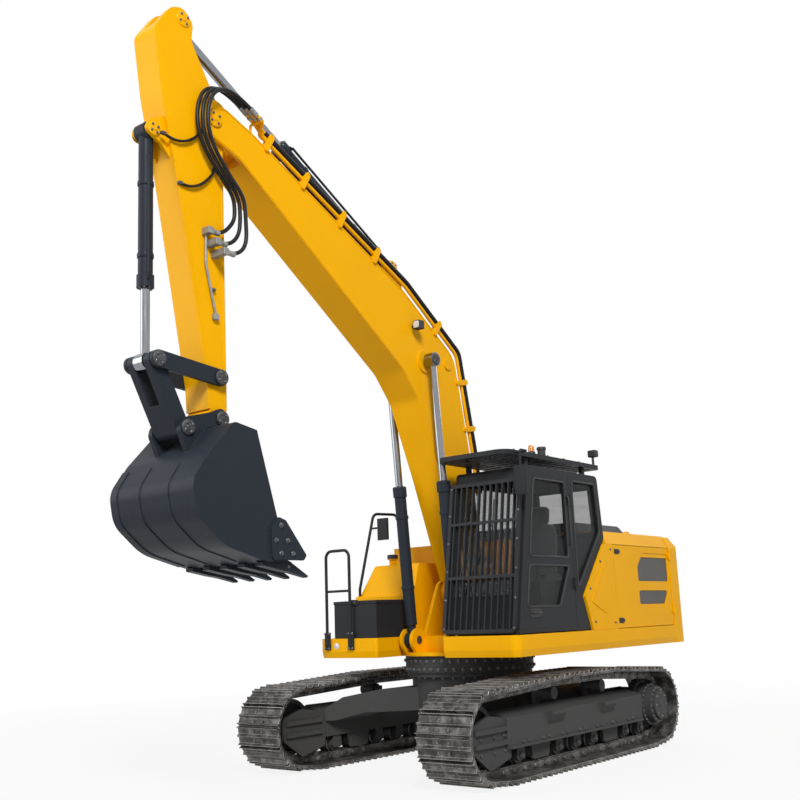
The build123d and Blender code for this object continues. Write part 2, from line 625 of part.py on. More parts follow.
def fuel_tank():
    """Right fuel tank: ledge, sloping front and side, filler neck and cap."""
    rear = -360
    side = [(rear, DECK_TOP + GAP), (TANK_FRONT, DECK_TOP + GAP)]
    side += [(TANK_FRONT, TANK_LEDGE), (TANK_FRONT - 40, TANK_LEDGE)]
    side += [(TANK_FRONT - 150, TANK_TOP), (rear, TANK_TOP)]
    outer = -DECK_HALF + 60
    tank = slab(outline(side, [0, 0, 20, 0, 40, 0]), outer, -MOUTH_HALF - 10)
    slope = [(outer - 1, TANK_LEDGE), (outer + 40, TANK_LEDGE), (outer + 190, TANK_TOP + 1)]
    tank -= rail(slope + [(outer - 1, TANK_TOP + 1)], rear - 1, TANK_FRONT + 1)
    neck = outer + 390
    tank += post(200, neck, 42, TANK_TOP - 10, TANK_TOP + 70)
    return [tank + post(200, neck, 62, TANK_TOP + 65, TANK_TOP + 110)]


BOX_REAR = 500
BOX_OUT = -DECK_HALF + 290
BOX_IN = -MOUTH_HALF - 10
LID_HINGES = (BOX_OUT + 150, BOX_IN - 150)


def lid_hinge(y):
    """Place of a lid hinge: pin along Y, behind the box's rear wall."""
    return Plane(origin=(BOX_REAR - HINGE_PIN * 2, y, BOX_TOP + GAP), x_dir=(0, 0, 1), z_dir=(0, -1, 0))


def tool_box():
    """Right front tool box, open at the top."""
    x = (BOX_REAR, DECK_FRONT - 20)
    box = block(x, (BOX_OUT, BOX_IN), (DECK_TOP + GAP, BOX_TOP))
    inside = (x[0] + PLATE, x[1] - PLATE), (BOX_OUT + PLATE, BOX_IN - PLATE)
    box -= block(*inside, (DECK_TOP + 30, BOX_TOP + 1))
    for y in LID_HINGES:
        box += fixed_leaf(lid_hinge(y), HINGE_SPREAD / 2, -1, 30)
    return [box]


def tool_lid():
    """Tool box lid with a turned-down front edge."""
    x = (BOX_REAR, DECK_FRONT - 14)
    lid = block(x, (BOX_OUT - 6, BOX_IN + 6), (BOX_TOP + GAP, BOX_TOP + 35))
    for y in LID_HINGES:
        lid += moving_leaf(lid_hinge(y), HINGE_SPREAD / 2, 1, 30)
    return [lid]


RAIL_LOW = (TANK_FRONT - 20, -DECK_HALF + 110, TANK_LEDGE + 80)
RAIL_HIGH = (190, -DECK_HALF + 160, TANK_TOP + 640)


def handrails():
    """Front corner rail with its foot plates, and the tank rail of bent tube."""
    x = DECK_FRONT + RAIL_RADIUS + GAP
    top = DECK_TOP + 970
    left = -DECK_HALF + 210
    right = -DECK_HALF + 560
    bow = [(x, left, DECK_TOP - 80), (x, left, top), (x, right, top), (x, right, DECK_TOP - 80)]
    front = tube(bow, RAIL_RADIUS, 80)
    front += tube([(x, left, top - 450), (x, right, top - 450)], RAIL_RADIUS - 3, 0)
    for y in (left, right):
        front += block((x - RAIL_RADIUS, x + 4), (y - 38, y + 38), (DECK_TOP - 120, DECK_TOP + 70))
    x, y, z = RAIL_LOW
    foot_y = y + 170
    fall = [(-150, y + 150, RAIL_HIGH[2]), (-200, foot_y, TANK_TOP + 80), (-200, foot_y, TANK_TOP + GAP)]
    return [front, tube([(x, y, TANK_LEDGE + GAP), RAIL_LOW, RAIL_HIGH] + fall, RAIL_RADIUS, 80)]


# Cab

CAB_SIDE = [(CAB_FRONT_LOW, CAB_FLOOR), (CAB_FRONT_TOP, CAB_ROOF), (CAB_REAR_TOP, CAB_ROOF)]
CAB_SIDE += [CAB_REAR_MID, CAB_NOTCH, (CAB_REAR_LOW, CAB_FLOOR)]
CAB_CORNERS = [0, 60, 60, 0, 0, 0]


def cab_band(z_low, z_high, y_low, y_high):
    """Part of the cab's side view between two heights, made solid."""
    cut = block((-2000, 2000), (y_low, y_high), (z_low, z_high))
    return slab(outline(CAB_SIDE, CAB_CORNERS), y_low, y_high) & cut


def cab_front_x(z):
    """Front face of the cab at a height."""
    return CAB_FRONT_LOW + (CAB_FRONT_TOP - CAB_FRONT_LOW) * (z - CAB_FLOOR) / (CAB_ROOF - CAB_FLOOR)


def lean(z, inset):
    """Point on a line inset behind the cab's front face."""
    return (cab_front_x(z) - inset, z)


CAB_LOW = CAB_FLOOR + WALL + GAP
CAB_HIGH = CAB_ROOF - WALL - GAP


def cab_floor():
    """Cab floor."""
    return [cab_band(CAB_FLOOR, CAB_FLOOR + WALL, CAB_RIGHT, CAB_LEFT)]


def cab_roof():
    """Cab roof."""
    return [cab_band(CAB_ROOF - WALL, CAB_ROOF, CAB_RIGHT, CAB_LEFT)]


def side_wall(y_low, y_high, x_low, x_high):
    """Cab side wall between two stations."""
    wall = cab_band(CAB_LOW, CAB_HIGH, y_low, y_high)
    return wall & block((x_low, x_high), (y_low, y_high), (CAB_LOW, CAB_HIGH))


GLASS_TOP = CAB_ROOF - 130
KNEE = CAB_REAR_MID[1] + 60
NOTCH_TOP = CAB_NOTCH[1] + 90
DOOR_FOOT = CAB_FLOOR + 260
DOOR_HINGE_Z = (CAB_FLOOR + 490, CAB_ROOF - 330)
DOOR_EDGE = DOOR_REAR + 90
QUARTER_FRONT = DOOR_REAR - 80
QUARTER = [(QUARTER_FRONT, CAB_ROOF - 100), (-740, CAB_ROOF - 100), (-790, KNEE), (QUARTER_FRONT, NOTCH_TOP)]
RIGHT_WINDOW = [(-700, GLASS_TOP), (-760, KNEE), (-300, NOTCH_TOP + 70)]
RIGHT_WINDOW += [lean(NOTCH_TOP + 110, 110), lean(GLASS_TOP, 110)]
DOOR_UPPER = [(DOOR_EDGE, CAB_SILL), (DOOR_EDGE, GLASS_TOP), lean(GLASS_TOP, 130), lean(CAB_SILL, 130)]
DOOR_LOWER = [(DOOR_EDGE, CAB_SILL - 90), lean(CAB_SILL - 90, 130)]
DOOR_LOWER += [lean(DOOR_FOOT, 130), (DOOR_EDGE + 240, DOOR_FOOT)]
SCREEN_LOW = CAB_FLOOR + 380
REAR_LOW = KNEE + 10


def window(points, y_low, y_high, inset):
    """Window-shaped solid, smaller all round by inset."""
    return slab(offset(outline(points, 35), -inset) if inset else outline(points, 35), y_low, y_high)


def cab_left():
    """Left wall behind the door with the quarter window."""
    wall = side_wall(CAB_LEFT - WALL, CAB_LEFT, -1000, DOOR_REAR - 4)
    wall -= window(QUARTER, CAB_LEFT - WALL - 1, CAB_LEFT + 1, 0)
    for z in DOOR_HINGE_Z:
        wall += fixed_leaf(Pos(DOOR_REAR, CAB_LEFT + HINGE_PIN * 2, z), HINGE_SPREAD, -1)
    return [wall]


def cab_right():
    """Right wall with its window."""
    wall = side_wall(CAB_RIGHT, CAB_RIGHT + WALL, -1000, 1100)
    return [wall - window(RIGHT_WINDOW, CAB_RIGHT - 1, CAB_RIGHT + WALL + 1, 0)]


def cab_front():
    """Leaning front frame of the cab."""
    strip = [lean(CAB_LOW, 0), lean(CAB_HIGH, 0), lean(CAB_HIGH, WALL), lean(CAB_LOW, WALL)]
    frame = slab(outline(strip), CAB_RIGHT + WALL + GAP, CAB_LEFT - WALL - GAP)
    return [frame - block((400, 1100), (CAB_RIGHT + 90, CAB_LEFT - 90), (SCREEN_LOW, GLASS_TOP))]


def cab_rear():
    """Rear wall of the cab with its window."""
    a, b, c, d = (CAB_REAR_TOP, CAB_ROOF), CAB_REAR_MID, CAB_NOTCH, (CAB_REAR_LOW, CAB_FLOOR)
    inner = [(d[0] + WALL, d[1]), (c[0] + WALL * 1.4, c[1])]
    inner += [(b[0] + WALL, b[1] + WALL * 0.5), (a[0] + WALL, a[1])]
    skin = slab(outline([a, b, c, d] + inner), CAB_RIGHT + WALL + GAP, CAB_LEFT - WALL - GAP)
    skin &= block((-2000, 2000), (CAB_RIGHT, CAB_LEFT), (CAB_LOW, CAB_HIGH))
    return [skin - block((-1000, -700), (CAB_RIGHT + 120, CAB_LEFT - 120), (REAR_LOW, GLASS_TOP - 20))]


def cab_glass():
    """Fixed panes: quarter, right, windscreen and rear."""
    panes = [window(QUARTER, CAB_LEFT - 26, CAB_LEFT - 20, GAP)]
    panes.append(window(RIGHT_WINDOW, CAB_RIGHT + 16, CAB_RIGHT + 22, GAP))
    low, high = SCREEN_LOW + GAP, GLASS_TOP - GAP
    screen = [lean(low, 16), lean(high, 16), lean(high, 22), lean(low, 22)]
    panes.append(slab(outline(screen), CAB_RIGHT + 90 + GAP, CAB_LEFT - 90 - GAP))
    low, high = REAR_LOW + GAP, GLASS_TOP - 20 - GAP
    shift = (CAB_REAR_TOP - CAB_REAR_MID[0]) / (CAB_ROOF - CAB_REAR_MID[1])
    x_low, x_high = (CAB_REAR_MID[0] + (z - CAB_REAR_MID[1]) * shift + 16 for z in (low, high))
    back = [(x_low, low), (x_high, high), (x_high + 6, high), (x_low + 6, low)]
    panes.append(slab(outline(back), CAB_RIGHT + 120 + GAP, CAB_LEFT - 120 - GAP))
    return panes


def cab_door():
    """Cab door with two window openings."""
    wall = side_wall(CAB_LEFT - WALL, CAB_LEFT, DOOR_REAR + 4, 1100)
    for opening in (DOOR_UPPER, DOOR_LOWER):
        wall -= window(opening, CAB_LEFT - WALL - 1, CAB_LEFT + 1, 0)
    for z in DOOR_HINGE_Z:
        wall += moving_leaf(Pos(DOOR_REAR, CAB_LEFT + HINGE_PIN * 2, z), HINGE_SPREAD, 1)
    return [wall]


def door_glass():
    """The door's two panes."""
    return [window(opening, CAB_LEFT - 26, CAB_LEFT - 20, GAP) for opening in (DOOR_UPPER, DOOR_LOWER)]


GUARD_DEPTH = 40
GUARD_RIM = 42
GUARD_BARS = 11
GUARD_RIGHT = CAB_RIGHT - 20
GUARD_LEFT = CAB_LEFT - 20


def front_guard():
    """Barred guard in front of the windscreen: rounded frame, upright bars and two crossbars."""
    low, high = CAB_FLOOR + 10, CAB_ROOF - 130
    strip = [lean(low, -GUARD_DEPTH), lean(high, -GUARD_DEPTH * 2)]
    strip += [lean(high, -GUARD_DEPTH), lean(low, -GAP - 0.1)]
    frame = slab(outline(strip), GUARD_RIGHT, GUARD_LEFT)
    rim = [(GUARD_RIGHT, low), (GUARD_LEFT, low), (GUARD_LEFT, high), (GUARD_RIGHT, high)]
    hole = offset(outline(rim, 60), -GUARD_RIM)
    inner = extrude(Plane.YZ.offset(CAB_FRONT_TOP - 200) * hole, amount=CAB_FRONT_LOW)
    shell = extrude(Plane.YZ.offset(CAB_FRONT_TOP - 200) * outline(rim, 60), amount=CAB_FRONT_LOW)
    guard = (frame & shell) - inner
    span = GUARD_LEFT - GUARD_RIGHT - 2 * GUARD_RIM
    deep = (CAB_FRONT_TOP - 200, CAB_FRONT_TOP + CAB_FRONT_LOW)
    for i in range(GUARD_BARS):
        y = GUARD_RIGHT + GUARD_RIM + span * (i + 0.5) / GUARD_BARS
        guard += frame & block(deep, (y - 8, y + 8), (low + 10, high - 10))
    for share in (0.36, 0.72):
        z = low + (high - low) * share
        guard += frame & block(deep, (GUARD_RIGHT + 10, GUARD_LEFT - 10), (z - 16, z + 16))
    return [guard]


ROOF_FRONT = 990
ROOF_BACK = -1020
ROOF_SLOTS = 13


def roof_guard():
    """Slatted guard over the cab roof on four posts."""
    left = CAB_LEFT - 50
    right = CAB_RIGHT - 60
    plan = [(ROOF_FRONT, left), (ROOF_BACK, left), (ROOF_BACK, right), (ROOF_FRONT, right)]
    top = flat(plan, ROOF_GUARD_LOW, ROOF_GUARD_TOP, [140, 60, 60, 140])
    pitch = (ROOF_FRONT - ROOF_BACK - 140) / ROOF_SLOTS
    lane = (left - right - 60) / 3
    for i in range(3):
        for k in range(ROOF_SLOTS):
            x = ROOF_BACK + 70 + pitch * k
            y = right + 30 + lane * i
            slot = [(x + 34, y + 24), (x + pitch - 34, y + 24)]
            slot += [(x + pitch - 34, y + lane - 24), (x + 34, y + lane - 24)]
            top -= flat(slot, ROOF_GUARD_LOW - 1, ROOF_GUARD_TOP + 1, 20)
    for x in (CAB_REAR_TOP + 120, CAB_FRONT_TOP - 150):
        for y in (CAB_RIGHT + 60, CAB_LEFT - 120):
            top += block((x - 30, x + 30), (y - 20, y + 20), (CAB_ROOF + GAP, ROOF_GUARD_LOW + 5))
    return [top]


def cab_seat():
    """Operator's seat: base, cushion, back and head rest."""
    y = (CAB_RIGHT + CAB_LEFT) / 2
    low = CAB_FLOOR + WALL + GAP
    sit = low + 260
    base = block((-150, 350), (y - 190, y + 190), (low, sit + 5))
    cushion = flat([(-180, y - 230), (400, y - 230), (400, y + 230), (-180, y + 230)], sit, sit + 145, 60)
    back = [(-190, sit + 135), (-70, sit + 135), (-180, sit + 865), (-300, sit + 865)]
    head = [(-290, sit + 855), (-190, sit + 855), (-210, sit + 1065), (-310, sit + 1065)]
    seat = base + cushion + slab(outline(back, 40), y - 220, y + 220)
    return [seat + slab(outline(head, 35), y - 120, y + 120)]


def cab_controls():
    """Side consoles with levers and the travel pedals."""
    pieces = []
    middle = (CAB_RIGHT + CAB_LEFT) / 2
    low = CAB_FLOOR + WALL + GAP
    for y in (middle - 310, middle + 310):
        console = block((-100, 420), (y - 60, y + 60), (low, low + 480))
        lever = post(360, y, 14, low + 470, low + 680)
        pieces.append(console + lever + Pos(360, y, low + 700) * Sphere(32))
    for y in (middle - 80, middle + 80):
        pedal = block((640, 760), (y - 45, y + 45), (low, low + 60))
        pieces.append(pedal + post(700, y, 12, low + 50, low + 570))
    return pieces


def cab_lamps():
    """Beacon, intake stack and rear work lamp above the roof guard."""
    base = ROOF_GUARD_TOP + GAP
    rim = CAB_LEFT - 50
    beacon = post(380, rim - 65, 42, base, base + 30) + post(380, rim - 65, 34, base + 25, base + 105)
    stack = post(180, rim - 60, 44, base, base + 95) + post(180, rim - 60, 52, base + 70, base + 100)
    lamp = post(-960, rim - 50, 15, base, base + 110)
    return [beacon, stack, lamp + block((-1010, -930), (rim - 105, rim + 5), (base + 100, base + 185))]


def mirrors():
    """Cab corner mirror and tank rail mirror with their arms."""
    y = CAB_LEFT + 75
    z = (ROOF_GUARD_LOW + ROOF_GUARD_TOP) / 2
    arm = tube([(780, CAB_LEFT - 50 + GAP, z), (780, y, z), (920, y, z), (920, y, z - 220)], 13, 30)
    cab = arm + block((902, 938), (CAB_LEFT + 5, CAB_LEFT + 145), (z - 460, z - 160))
    x, y, z = (low + (high - low) * 0.8 for low, high in zip(RAIL_LOW, RAIL_HIGH))
    y += RAIL_RADIUS + 2 * GAP
    stem = tube([(x, y, z), (x, y + 120, z)], 12, 0)
    return [cab, stem + block((x - 18, x + 18), (y + 100, y + 250), (z - 150, z + 110))]


# Working equipment

BOOM_UPPER = [(-112, 1840), (86, 3400), (310, 4480), (1200, 5085), (3430, 6130), (3880, 6300)]
BOOM_LOWER = [(4020, 5950), (3620, 5816), (1800, 4550), (1270, 4180), (1020, 3880), (663, 3071), (213, 1920)]
BOOM_CORNERS = [0, 800, 320, 500, 400, 120, 120, 300, 600, 400, 300, 900, 0]
BOOM_BOSS = (450, 4368)


def beside(points, distance):
    """Row of side-view points moved to the upper side of their own line by a distance."""
    runs = [Vector(b[0] - a[0], b[1] - a[1]).normalized() for a, b in zip(points, points[1:])]
    sides = [Vector(-run.Y, run.X) for run in runs]
    moved = []
    for i, point in enumerate(points):
        before = sides[max(i - 1, 0)]
        after = sides[min(i, len(sides) - 1)]
        mitre = (before + after) * (distance / (1 + before.dot(after)))
        moved.append((point[0] + mitre.X, point[1] + mitre.Y))
    return moved


PIPE_LOW = along(BOOM_UPPER[1], BOOM_UPPER[0], 500)
PIPE_HIGH = along(BOOM_UPPER[3], BOOM_UPPER[4], 2380)
PIPE_LINE = [PIPE_LOW, *BOOM_UPPER[1:4], PIPE_HIGH]
PIPE_CLAMPS = []
for start, end, places in ((1, 2, (250, 800)), (2, 3, (420,)), (3, 4, (550, 1150, 1750, 2300))):
    run = (Vector(*BOOM_UPPER[end]) - Vector(*BOOM_UPPER[start])).normalized()
    PIPE_CLAMPS += [(*along(BOOM_UPPER[start], BOOM_UPPER[end], place), -run.Y, run.X) for place in places]


def boom_line(stand, y, radius):
    """Pipe along the top of the boom at a distance above its plate."""
    return tube([(x, y, z) for x, z in beside(PIPE_LINE, stand)], radius, 150)


def boom_pipes():
    """Two pairs of hydraulic pipes over the boom."""
    return [boom_line(stand, y, PIPE_RADIUS) for stand in PIPE_STANDOFF for y in (PIPE_Y, -PIPE_Y)]


def boom_lamp():
    """Work lamp on the left face of the boom."""
    x, z = BOOM_LAMP
    foot = block((x - 25, x + 25), (BOOM_HALF + GAP, BOOM_HALF + 50), (z - 12, z + 12))
    return [foot + block((x - 30, x + 60), (BOOM_HALF + 45, BOOM_HALF + 135), (z - 45, z + 45))]


BOOM_LAMP = (1060, 4700)
ARM_HOSE_ENDS = [(4010, 4995), (3960, 4890), (3905, 4800)]
ARM_HOSE_Y = 215
PORT = 30
HOSE_LOOP = [(3560, 6310), (3800, 6440), (4060, 6400), (4170, 6150)]
HOSE_LOOP += [(4130, 5850), (3900, 5580), (3720, 5420), (3700, 5230)]


def arm_hose_y(index):
    """Distance of a hose from the centre plane."""
    return ARM_HOSE_Y + index * HOSE_RADIUS * 2.3


def arm_hose(index):
    """Hose from a boom pipe over the joint and down to its fitting on the arm's left face."""
    y = arm_hose_y(index)
    drift = index * 26
    loop = [(x - drift, y, z - drift * 0.5) for x, z in HOSE_LOOP]
    end_x, end_z = ARM_HOSE_ENDS[index]
    tail = [(end_x - 230, y, end_z + 60), (end_x - 150, y, end_z), (end_x - PORT - GAP, y, end_z)]
    return tube(loop + tail, HOSE_RADIUS, 55)


def arm_fittings():
    """Port blocks for the hoses and the pipe down the arm's left face."""
    ports = []
    for i, (x, z) in enumerate(ARM_HOSE_ENDS):
        depth = (ARM_HALF + GAP, arm_hose_y(i) + PORT)
        ports.append(block((x - PORT, x + PORT), depth, (z - PORT, z + PORT)))
    x, z = ARM_HOSE_ENDS[0]
    low = (x - 120, ARM_HALF + 22, z - 760)
    pipe = tube([(x, ARM_HALF + 22, z - PORT + 1), (x, ARM_HALF + 22, z - 300), low], 12, 80)
    clip = block((low[0] - 26, low[0] + 26), (ARM_HALF + GAP, ARM_HALF + 40), (low[2] - 40, low[2] + 10))
    ports[0] = ports[0] + pipe + clip
    return ports


def boom():
    """Box-section boom, hollow, with foot boss, tip fork, cylinder ears, side bosses and pipe clamps."""
    side = outline(BOOM_UPPER + BOOM_LOWER, BOOM_CORNERS)
    body = slab(side, -BOOM_HALF, BOOM_HALF)
    inner = offset(outline(BOOM_UPPER + BOOM_LOWER, BOOM_CORNERS), -PLATE)
    hollow = slab(inner, -BOOM_HALF + PLATE, BOOM_HALF - PLATE)
    hollow -= bar(BOOM_TIP, 560, -BOOM_HALF, BOOM_HALF)
    hollow -= bar(BOOM_FOOT, 230, -BOOM_HALF, BOOM_HALF)
    body -= hollow
    body += bar(BOOM_FOOT, 165, -BOOM_HALF, BOOM_HALF)
    body += bar(BOOM_TIP, 190, -BOOM_HALF, BOOM_HALF)
    body -= bar(BOOM_TIP, 480, -ARM_HALF - 15, ARM_HALF + 15)
    for turn in (1, -1):
        face = turn * (BOOM_HALF - 5)
        body += bar(BOOM_CYL_EYE, 130, *sorted((face, turn * (BOOM_HALF + 20))))
        body += bar(BOOM_BOSS, 62, *sorted((face, turn * (BOOM_HALF + 18))))
        ear = [(ARM_CYL_FOOT[0] - 220, ARM_CYL_FOOT[1] - 400), (ARM_CYL_FOOT[0] + 260, ARM_CYL_FOOT[1] - 150)]
        ear += [(ARM_CYL_FOOT[0] + 100, ARM_CYL_FOOT[1] + 60), (ARM_CYL_FOOT[0] - 70, ARM_CYL_FOOT[1] + 80)]
        body += slab(outline(ear, [0, 0, 80, 80]), *sorted((turn * 90, turn * 125)))
        for x, z, lean_x, lean_z in PIPE_CLAMPS:
            foot = (x - lean_x * PLATE, z - lean_z * PLATE)
            head = (x + lean_x * PIPE_STANDOFF[1], z + lean_z * PIPE_STANDOFF[1])
            block_y = sorted((turn * (PIPE_Y - CLAMP_HALF), turn * (PIPE_Y + CLAMP_HALF)))
            body += plate([(*foot, 26), (*head, 34)], *block_y)
    for point in (BOOM_FOOT, BOOM_TIP, ARM_CYL_FOOT):
        body -= bar(point, PIN_RADIUS + PIN_FIT, -BOOM_HALF - 50, BOOM_HALF + 50)
    for stand in PIPE_STANDOFF:
        for y in (PIPE_Y, -PIPE_Y):
            body -= boom_line(stand, y, PIPE_RADIUS + GAP)
    return [body]


def boom_pins():
    """Arm pivot pin and arm cylinder foot pin."""
    tip = BOOM_HALF + 8
    return [bar(BOOM_TIP, PIN_RADIUS, -tip, tip), bar(ARM_CYL_FOOT, PIN_RADIUS, -133, 133)]


def arm():
    """Box-section arm, hollow, with cylinder ears and tip boss."""
    rear = [(3740, 3380), (3764, 4365), (3790, 5540), (3800, 6200), (4180, 6830), (4160, 7010), (4275, 7130)]
    front = [(4420, 7070), (4600, 6790), (4510, 6200), (4340, 5480), (4090, 4235), (3965, 3590), (3950, 3380)]
    corners = [0, 900, 900, 250, 150, 100, 100, 150, 150, 600, 900, 900, 300, 0]
    body = slab(outline(rear + front, corners), -ARM_HALF, ARM_HALF)
    hollow = slab(offset(outline(rear + front, corners), -PLATE), -ARM_HALF + PLATE, ARM_HALF - PLATE)
    hollow -= bar(ARM_EAR, 420, -ARM_HALF, ARM_HALF)
    hollow -= bar(BOOM_TIP, 130, -ARM_HALF, ARM_HALF)
    x, z = ARM_TIP
    hollow -= block((x - 250, x + 350), (-ARM_HALF, ARM_HALF), (z - 290, z + 560))
    body -= hollow
    body += bar(ARM_TIP, 115, -ARM_HALF, ARM_HALF)
    body -= bar(ARM_EAR, 300, -70, 70)
    ear_x, ear_z = BUCKET_CYL_FOOT
    for side in (1, -1):
        ear = [(ear_x - 195, ear_z - 220), (ear_x - 75, ear_z - 100), (ear_x + 85, ear_z - 20)]
        ear += [(ear_x + 45, ear_z + 80), (ear_x - 95, ear_z + 160)]
        body += slab(outline(ear, [0, 0, 50, 50, 0]), *sorted((side * 72, side * 108)))
    for point in (BOOM_TIP, ARM_TIP, ROCKER_PIVOT, BUCKET_CYL_FOOT):
        body -= bar(point, PIN_RADIUS + PIN_FIT, -ARM_HALF - 150, ARM_HALF + 150)
    return [body]


def arm_pins():
    """Bucket pivot, rocker and bucket cylinder foot pins."""
    pins = [bar(ARM_TIP, PIN_RADIUS, -225, 225), bar(ROCKER_PIVOT, PIN_RADIUS, -215, 215)]
    return pins + [bar(BUCKET_CYL_FOOT, PIN_RADIUS, -116, 116)]


def strap(a, b, radius, y_low, y_high):
    """Link plate with round ends on two side-view points."""
    return plate([(*a, radius), (*b, radius)], y_low, y_high)


def rockers():
    """Pair of rocker links outside the arm."""
    plate = strap(ROCKER_PIVOT, LINK_TOP, 75, ARM_HALF + 12, ARM_HALF + 47)
    plate -= bar(ROCKER_PIVOT, PIN_RADIUS + PIN_FIT, 0, 300)
    return both([plate])


def bucket_link():
    """Forked link from the rod eye to the bucket ears."""
    link = strap(LINK_TOP, LINK_LOW, 75, -150, 150)
    link -= block((3000, 5000), (-68, 68), (LINK_LOW[1] + 190, 4500))
    return [link - bar(LINK_LOW, PIN_RADIUS + PIN_FIT, -300, 300)]


BUCKET_LIP = (3400, 2040)
BUCKET_SHELL = [(3752, 3156), (4010, 3200), (4280, 2910), (4450, 2660), (4400, 2400), (4110, 2165)]
BUCKET_SHELL += [(BUCKET_LIP[0] + 220, BUCKET_LIP[1]), BUCKET_LIP]
BUCKET_CORNERS = [0, 60, 300, 200, 250, 500, 0, 0]
STRIP_PLACES = [(-BUCKET_HALF, -BUCKET_HALF + 90), (BUCKET_HALF - 90, BUCKET_HALF), (-230, -150), (150, 230)]


def bucket():
    """Welded bucket: wrapper, side plates with cutters, ears and wear strips round the back."""
    whole = outline(BUCKET_SHELL, BUCKET_CORNERS)
    body = slab(whole, -BUCKET_HALF, BUCKET_HALF)
    inner = offset(outline(BUCKET_SHELL, BUCKET_CORNERS), -PLATE)
    bowl = slab(inner, -BUCKET_HALF + PLATE, BUCKET_HALF - PLATE)
    low = BUCKET_LIP[1] + PLATE + 2
    mouth = [(3700, 3130), (3800, 3130), (3480, low), (3380, low)]
    bowl += slab(outline(mouth), -BUCKET_HALF + PLATE, BUCKET_HALF - PLATE)
    back = block((BUCKET_LIP[0] + 300, 5000), (-BUCKET_HALF, BUCKET_HALF), (1900, 2860))
    for low_y, high_y in STRIP_PLACES:
        band = slab(offset(outline(BUCKET_SHELL, BUCKET_CORNERS), STRIP), low_y, high_y) & back
        body += band
    body -= bowl
    for side in (1, -1):
        ear = [(3790, 3150), (3770, 3310), (3850, 3390), (3960, 3340)]
        ear += [(4250, 3260), (4320, 3150), (4230, 2960), (4010, 3190)]
        body += slab(outline(ear, [0, 60, 60, 40, 60, 60, 0, 0]), *sorted((side * 165, side * 215)))
        cutter = [(3520, 2420), (3440, 2395), (3190, 2100), (3225, 2055), (3600, 2055), (3610, 2330)]
        edges = sorted((side * (BUCKET_HALF - 2), side * (BUCKET_HALF + CUTTER)))
        body += slab(outline(cutter, [15, 15, 15, 15, 40, 40]), *edges)
    body -= bar(ARM_TIP, PIN_RADIUS + PIN_FIT, -300, 300)
    body -= bar(LINK_LOW, PIN_RADIUS + PIN_FIT, -300, 300)
    return [body]


def bucket_teeth():
    """Row of teeth on the lip, each an adapter with a tapering point."""
    lip_x, lip_z = BUCKET_LIP
    top = lip_z - GAP
    side = [(lip_x + 250, top), (lip_x - GAP, top), (lip_x - GAP, lip_z + PLATE + 14)]
    side += [(lip_x - 80, lip_z + 8), (lip_x - 110, lip_z - 6)]
    side += [(lip_x - 315, lip_z - 112), (lip_x - 300, lip_z - 128)]
    side += [(lip_x - 80, lip_z - 82), (lip_x + 30, lip_z - 68), (lip_x + 250, lip_z - 30)]
    half = TOOTH_WIDTH / 2
    plan = [(lip_x + 260, half), (lip_x - 80, half), (lip_x - 110, half * 0.82), (lip_x - 320, half * 0.6)]
    plan += [(x, -y) for x, y in reversed(plan)]
    tooth = slab(outline(side), -half, half) & flat(plan, lip_z - 200, lip_z + 100)
    span = 2 * (BUCKET_HALF - TOOTH_WIDTH)
    return [Pos(0, span * i / (TOOTH_COUNT - 1) - span / 2, 0) * tooth for i in range(TOOTH_COUNT)]


def bucket_pin():
    """Pin between the bucket ears and the link."""
    return [bar(LINK_LOW, PIN_RADIUS, -223, 223)]


BOOM_BARREL = (BOOM_CYL_FOOT, BOOM_CYL_EYE, BOOM_CYL_Y, 66, 42.1, 1690, 54)
BOOM_ROD = (BOOM_CYL_FOOT, BOOM_CYL_EYE, BOOM_CYL_Y, 42, 1420, 54)
ARM_BARREL = (ARM_CYL_FOOT, ARM_EAR, 0, 80, 50.1, 1860, 85)
ARM_ROD = (ARM_CYL_FOOT, ARM_EAR, 0, 50, 1650, 62)
BUCKET_BARREL = (BUCKET_CYL_FOOT, LINK_TOP, 0, 64, 40.1, 1440, 68)
BUCKET_ROD = (BUCKET_CYL_FOOT, LINK_TOP, 0, 40, 780, 60)

NODES = {
    "track_left": track(),
    "running_gear_left": running_gear(),
    "track_frame_left": track_frame(),
}
for name in list(NODES):
    NODES[name.replace("left", "right")] = [mirror(solid, about=Plane.XZ) for solid in NODES[name]]
NODES["carbody"] = carbody()
NODES["slew_ring_lower"] = slew_ring(SLEW_BASE + GAP, SLEW_MID)
NODES["slew_ring_upper"] = slew_ring(SLEW_MID + GAP, DECK_BOTTOM - GAP)
for piece in (
    deck, upper_pins, counterweight, house_left, house_top, engine, hydraulic_tank, fuel_tank, tool_box,
    handrails, mirrors, cab_floor, cab_roof, cab_left, cab_right, cab_front, cab_rear, cab_glass, cab_seat,
    cab_controls, cab_lamps, front_guard, roof_guard, cab_door, door_glass, service_door, service_grilles,
    pump_door, hood, tool_lid, boom, boom_pins, boom_pipes, boom_lamp, arm_fittings, arm, arm_pins, rockers,
    bucket_link, bucket, bucket_teeth, bucket_pin,
):
    NODES[piece.__name__] = piece()
for i in range(len(ARM_HOSE_ENDS)):
    NODES[f"arm_hose_{i + 1}"] = [arm_hose(i)]
NODES["boom_barrels"] = both([barrel(*BOOM_BARREL)])
NODES["boom_rods"] = both([rod(*BOOM_ROD)])
NODES["arm_barrel"] = [barrel(*ARM_BARREL)]
NODES["arm_rod"] = [rod(*ARM_ROD)]
NODES["bucket_barrel"] = [barrel(*BUCKET_BARREL)]
NODES["bucket_rod"] = [rod(*BUCKET_ROD)]

os.makedirs("parts", exist_ok=True)
for name, solids in NODES.items():
    save(name, solids)
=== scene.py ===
import math

import bmesh
import bpy
import numpy as np
from mathutils import Matrix


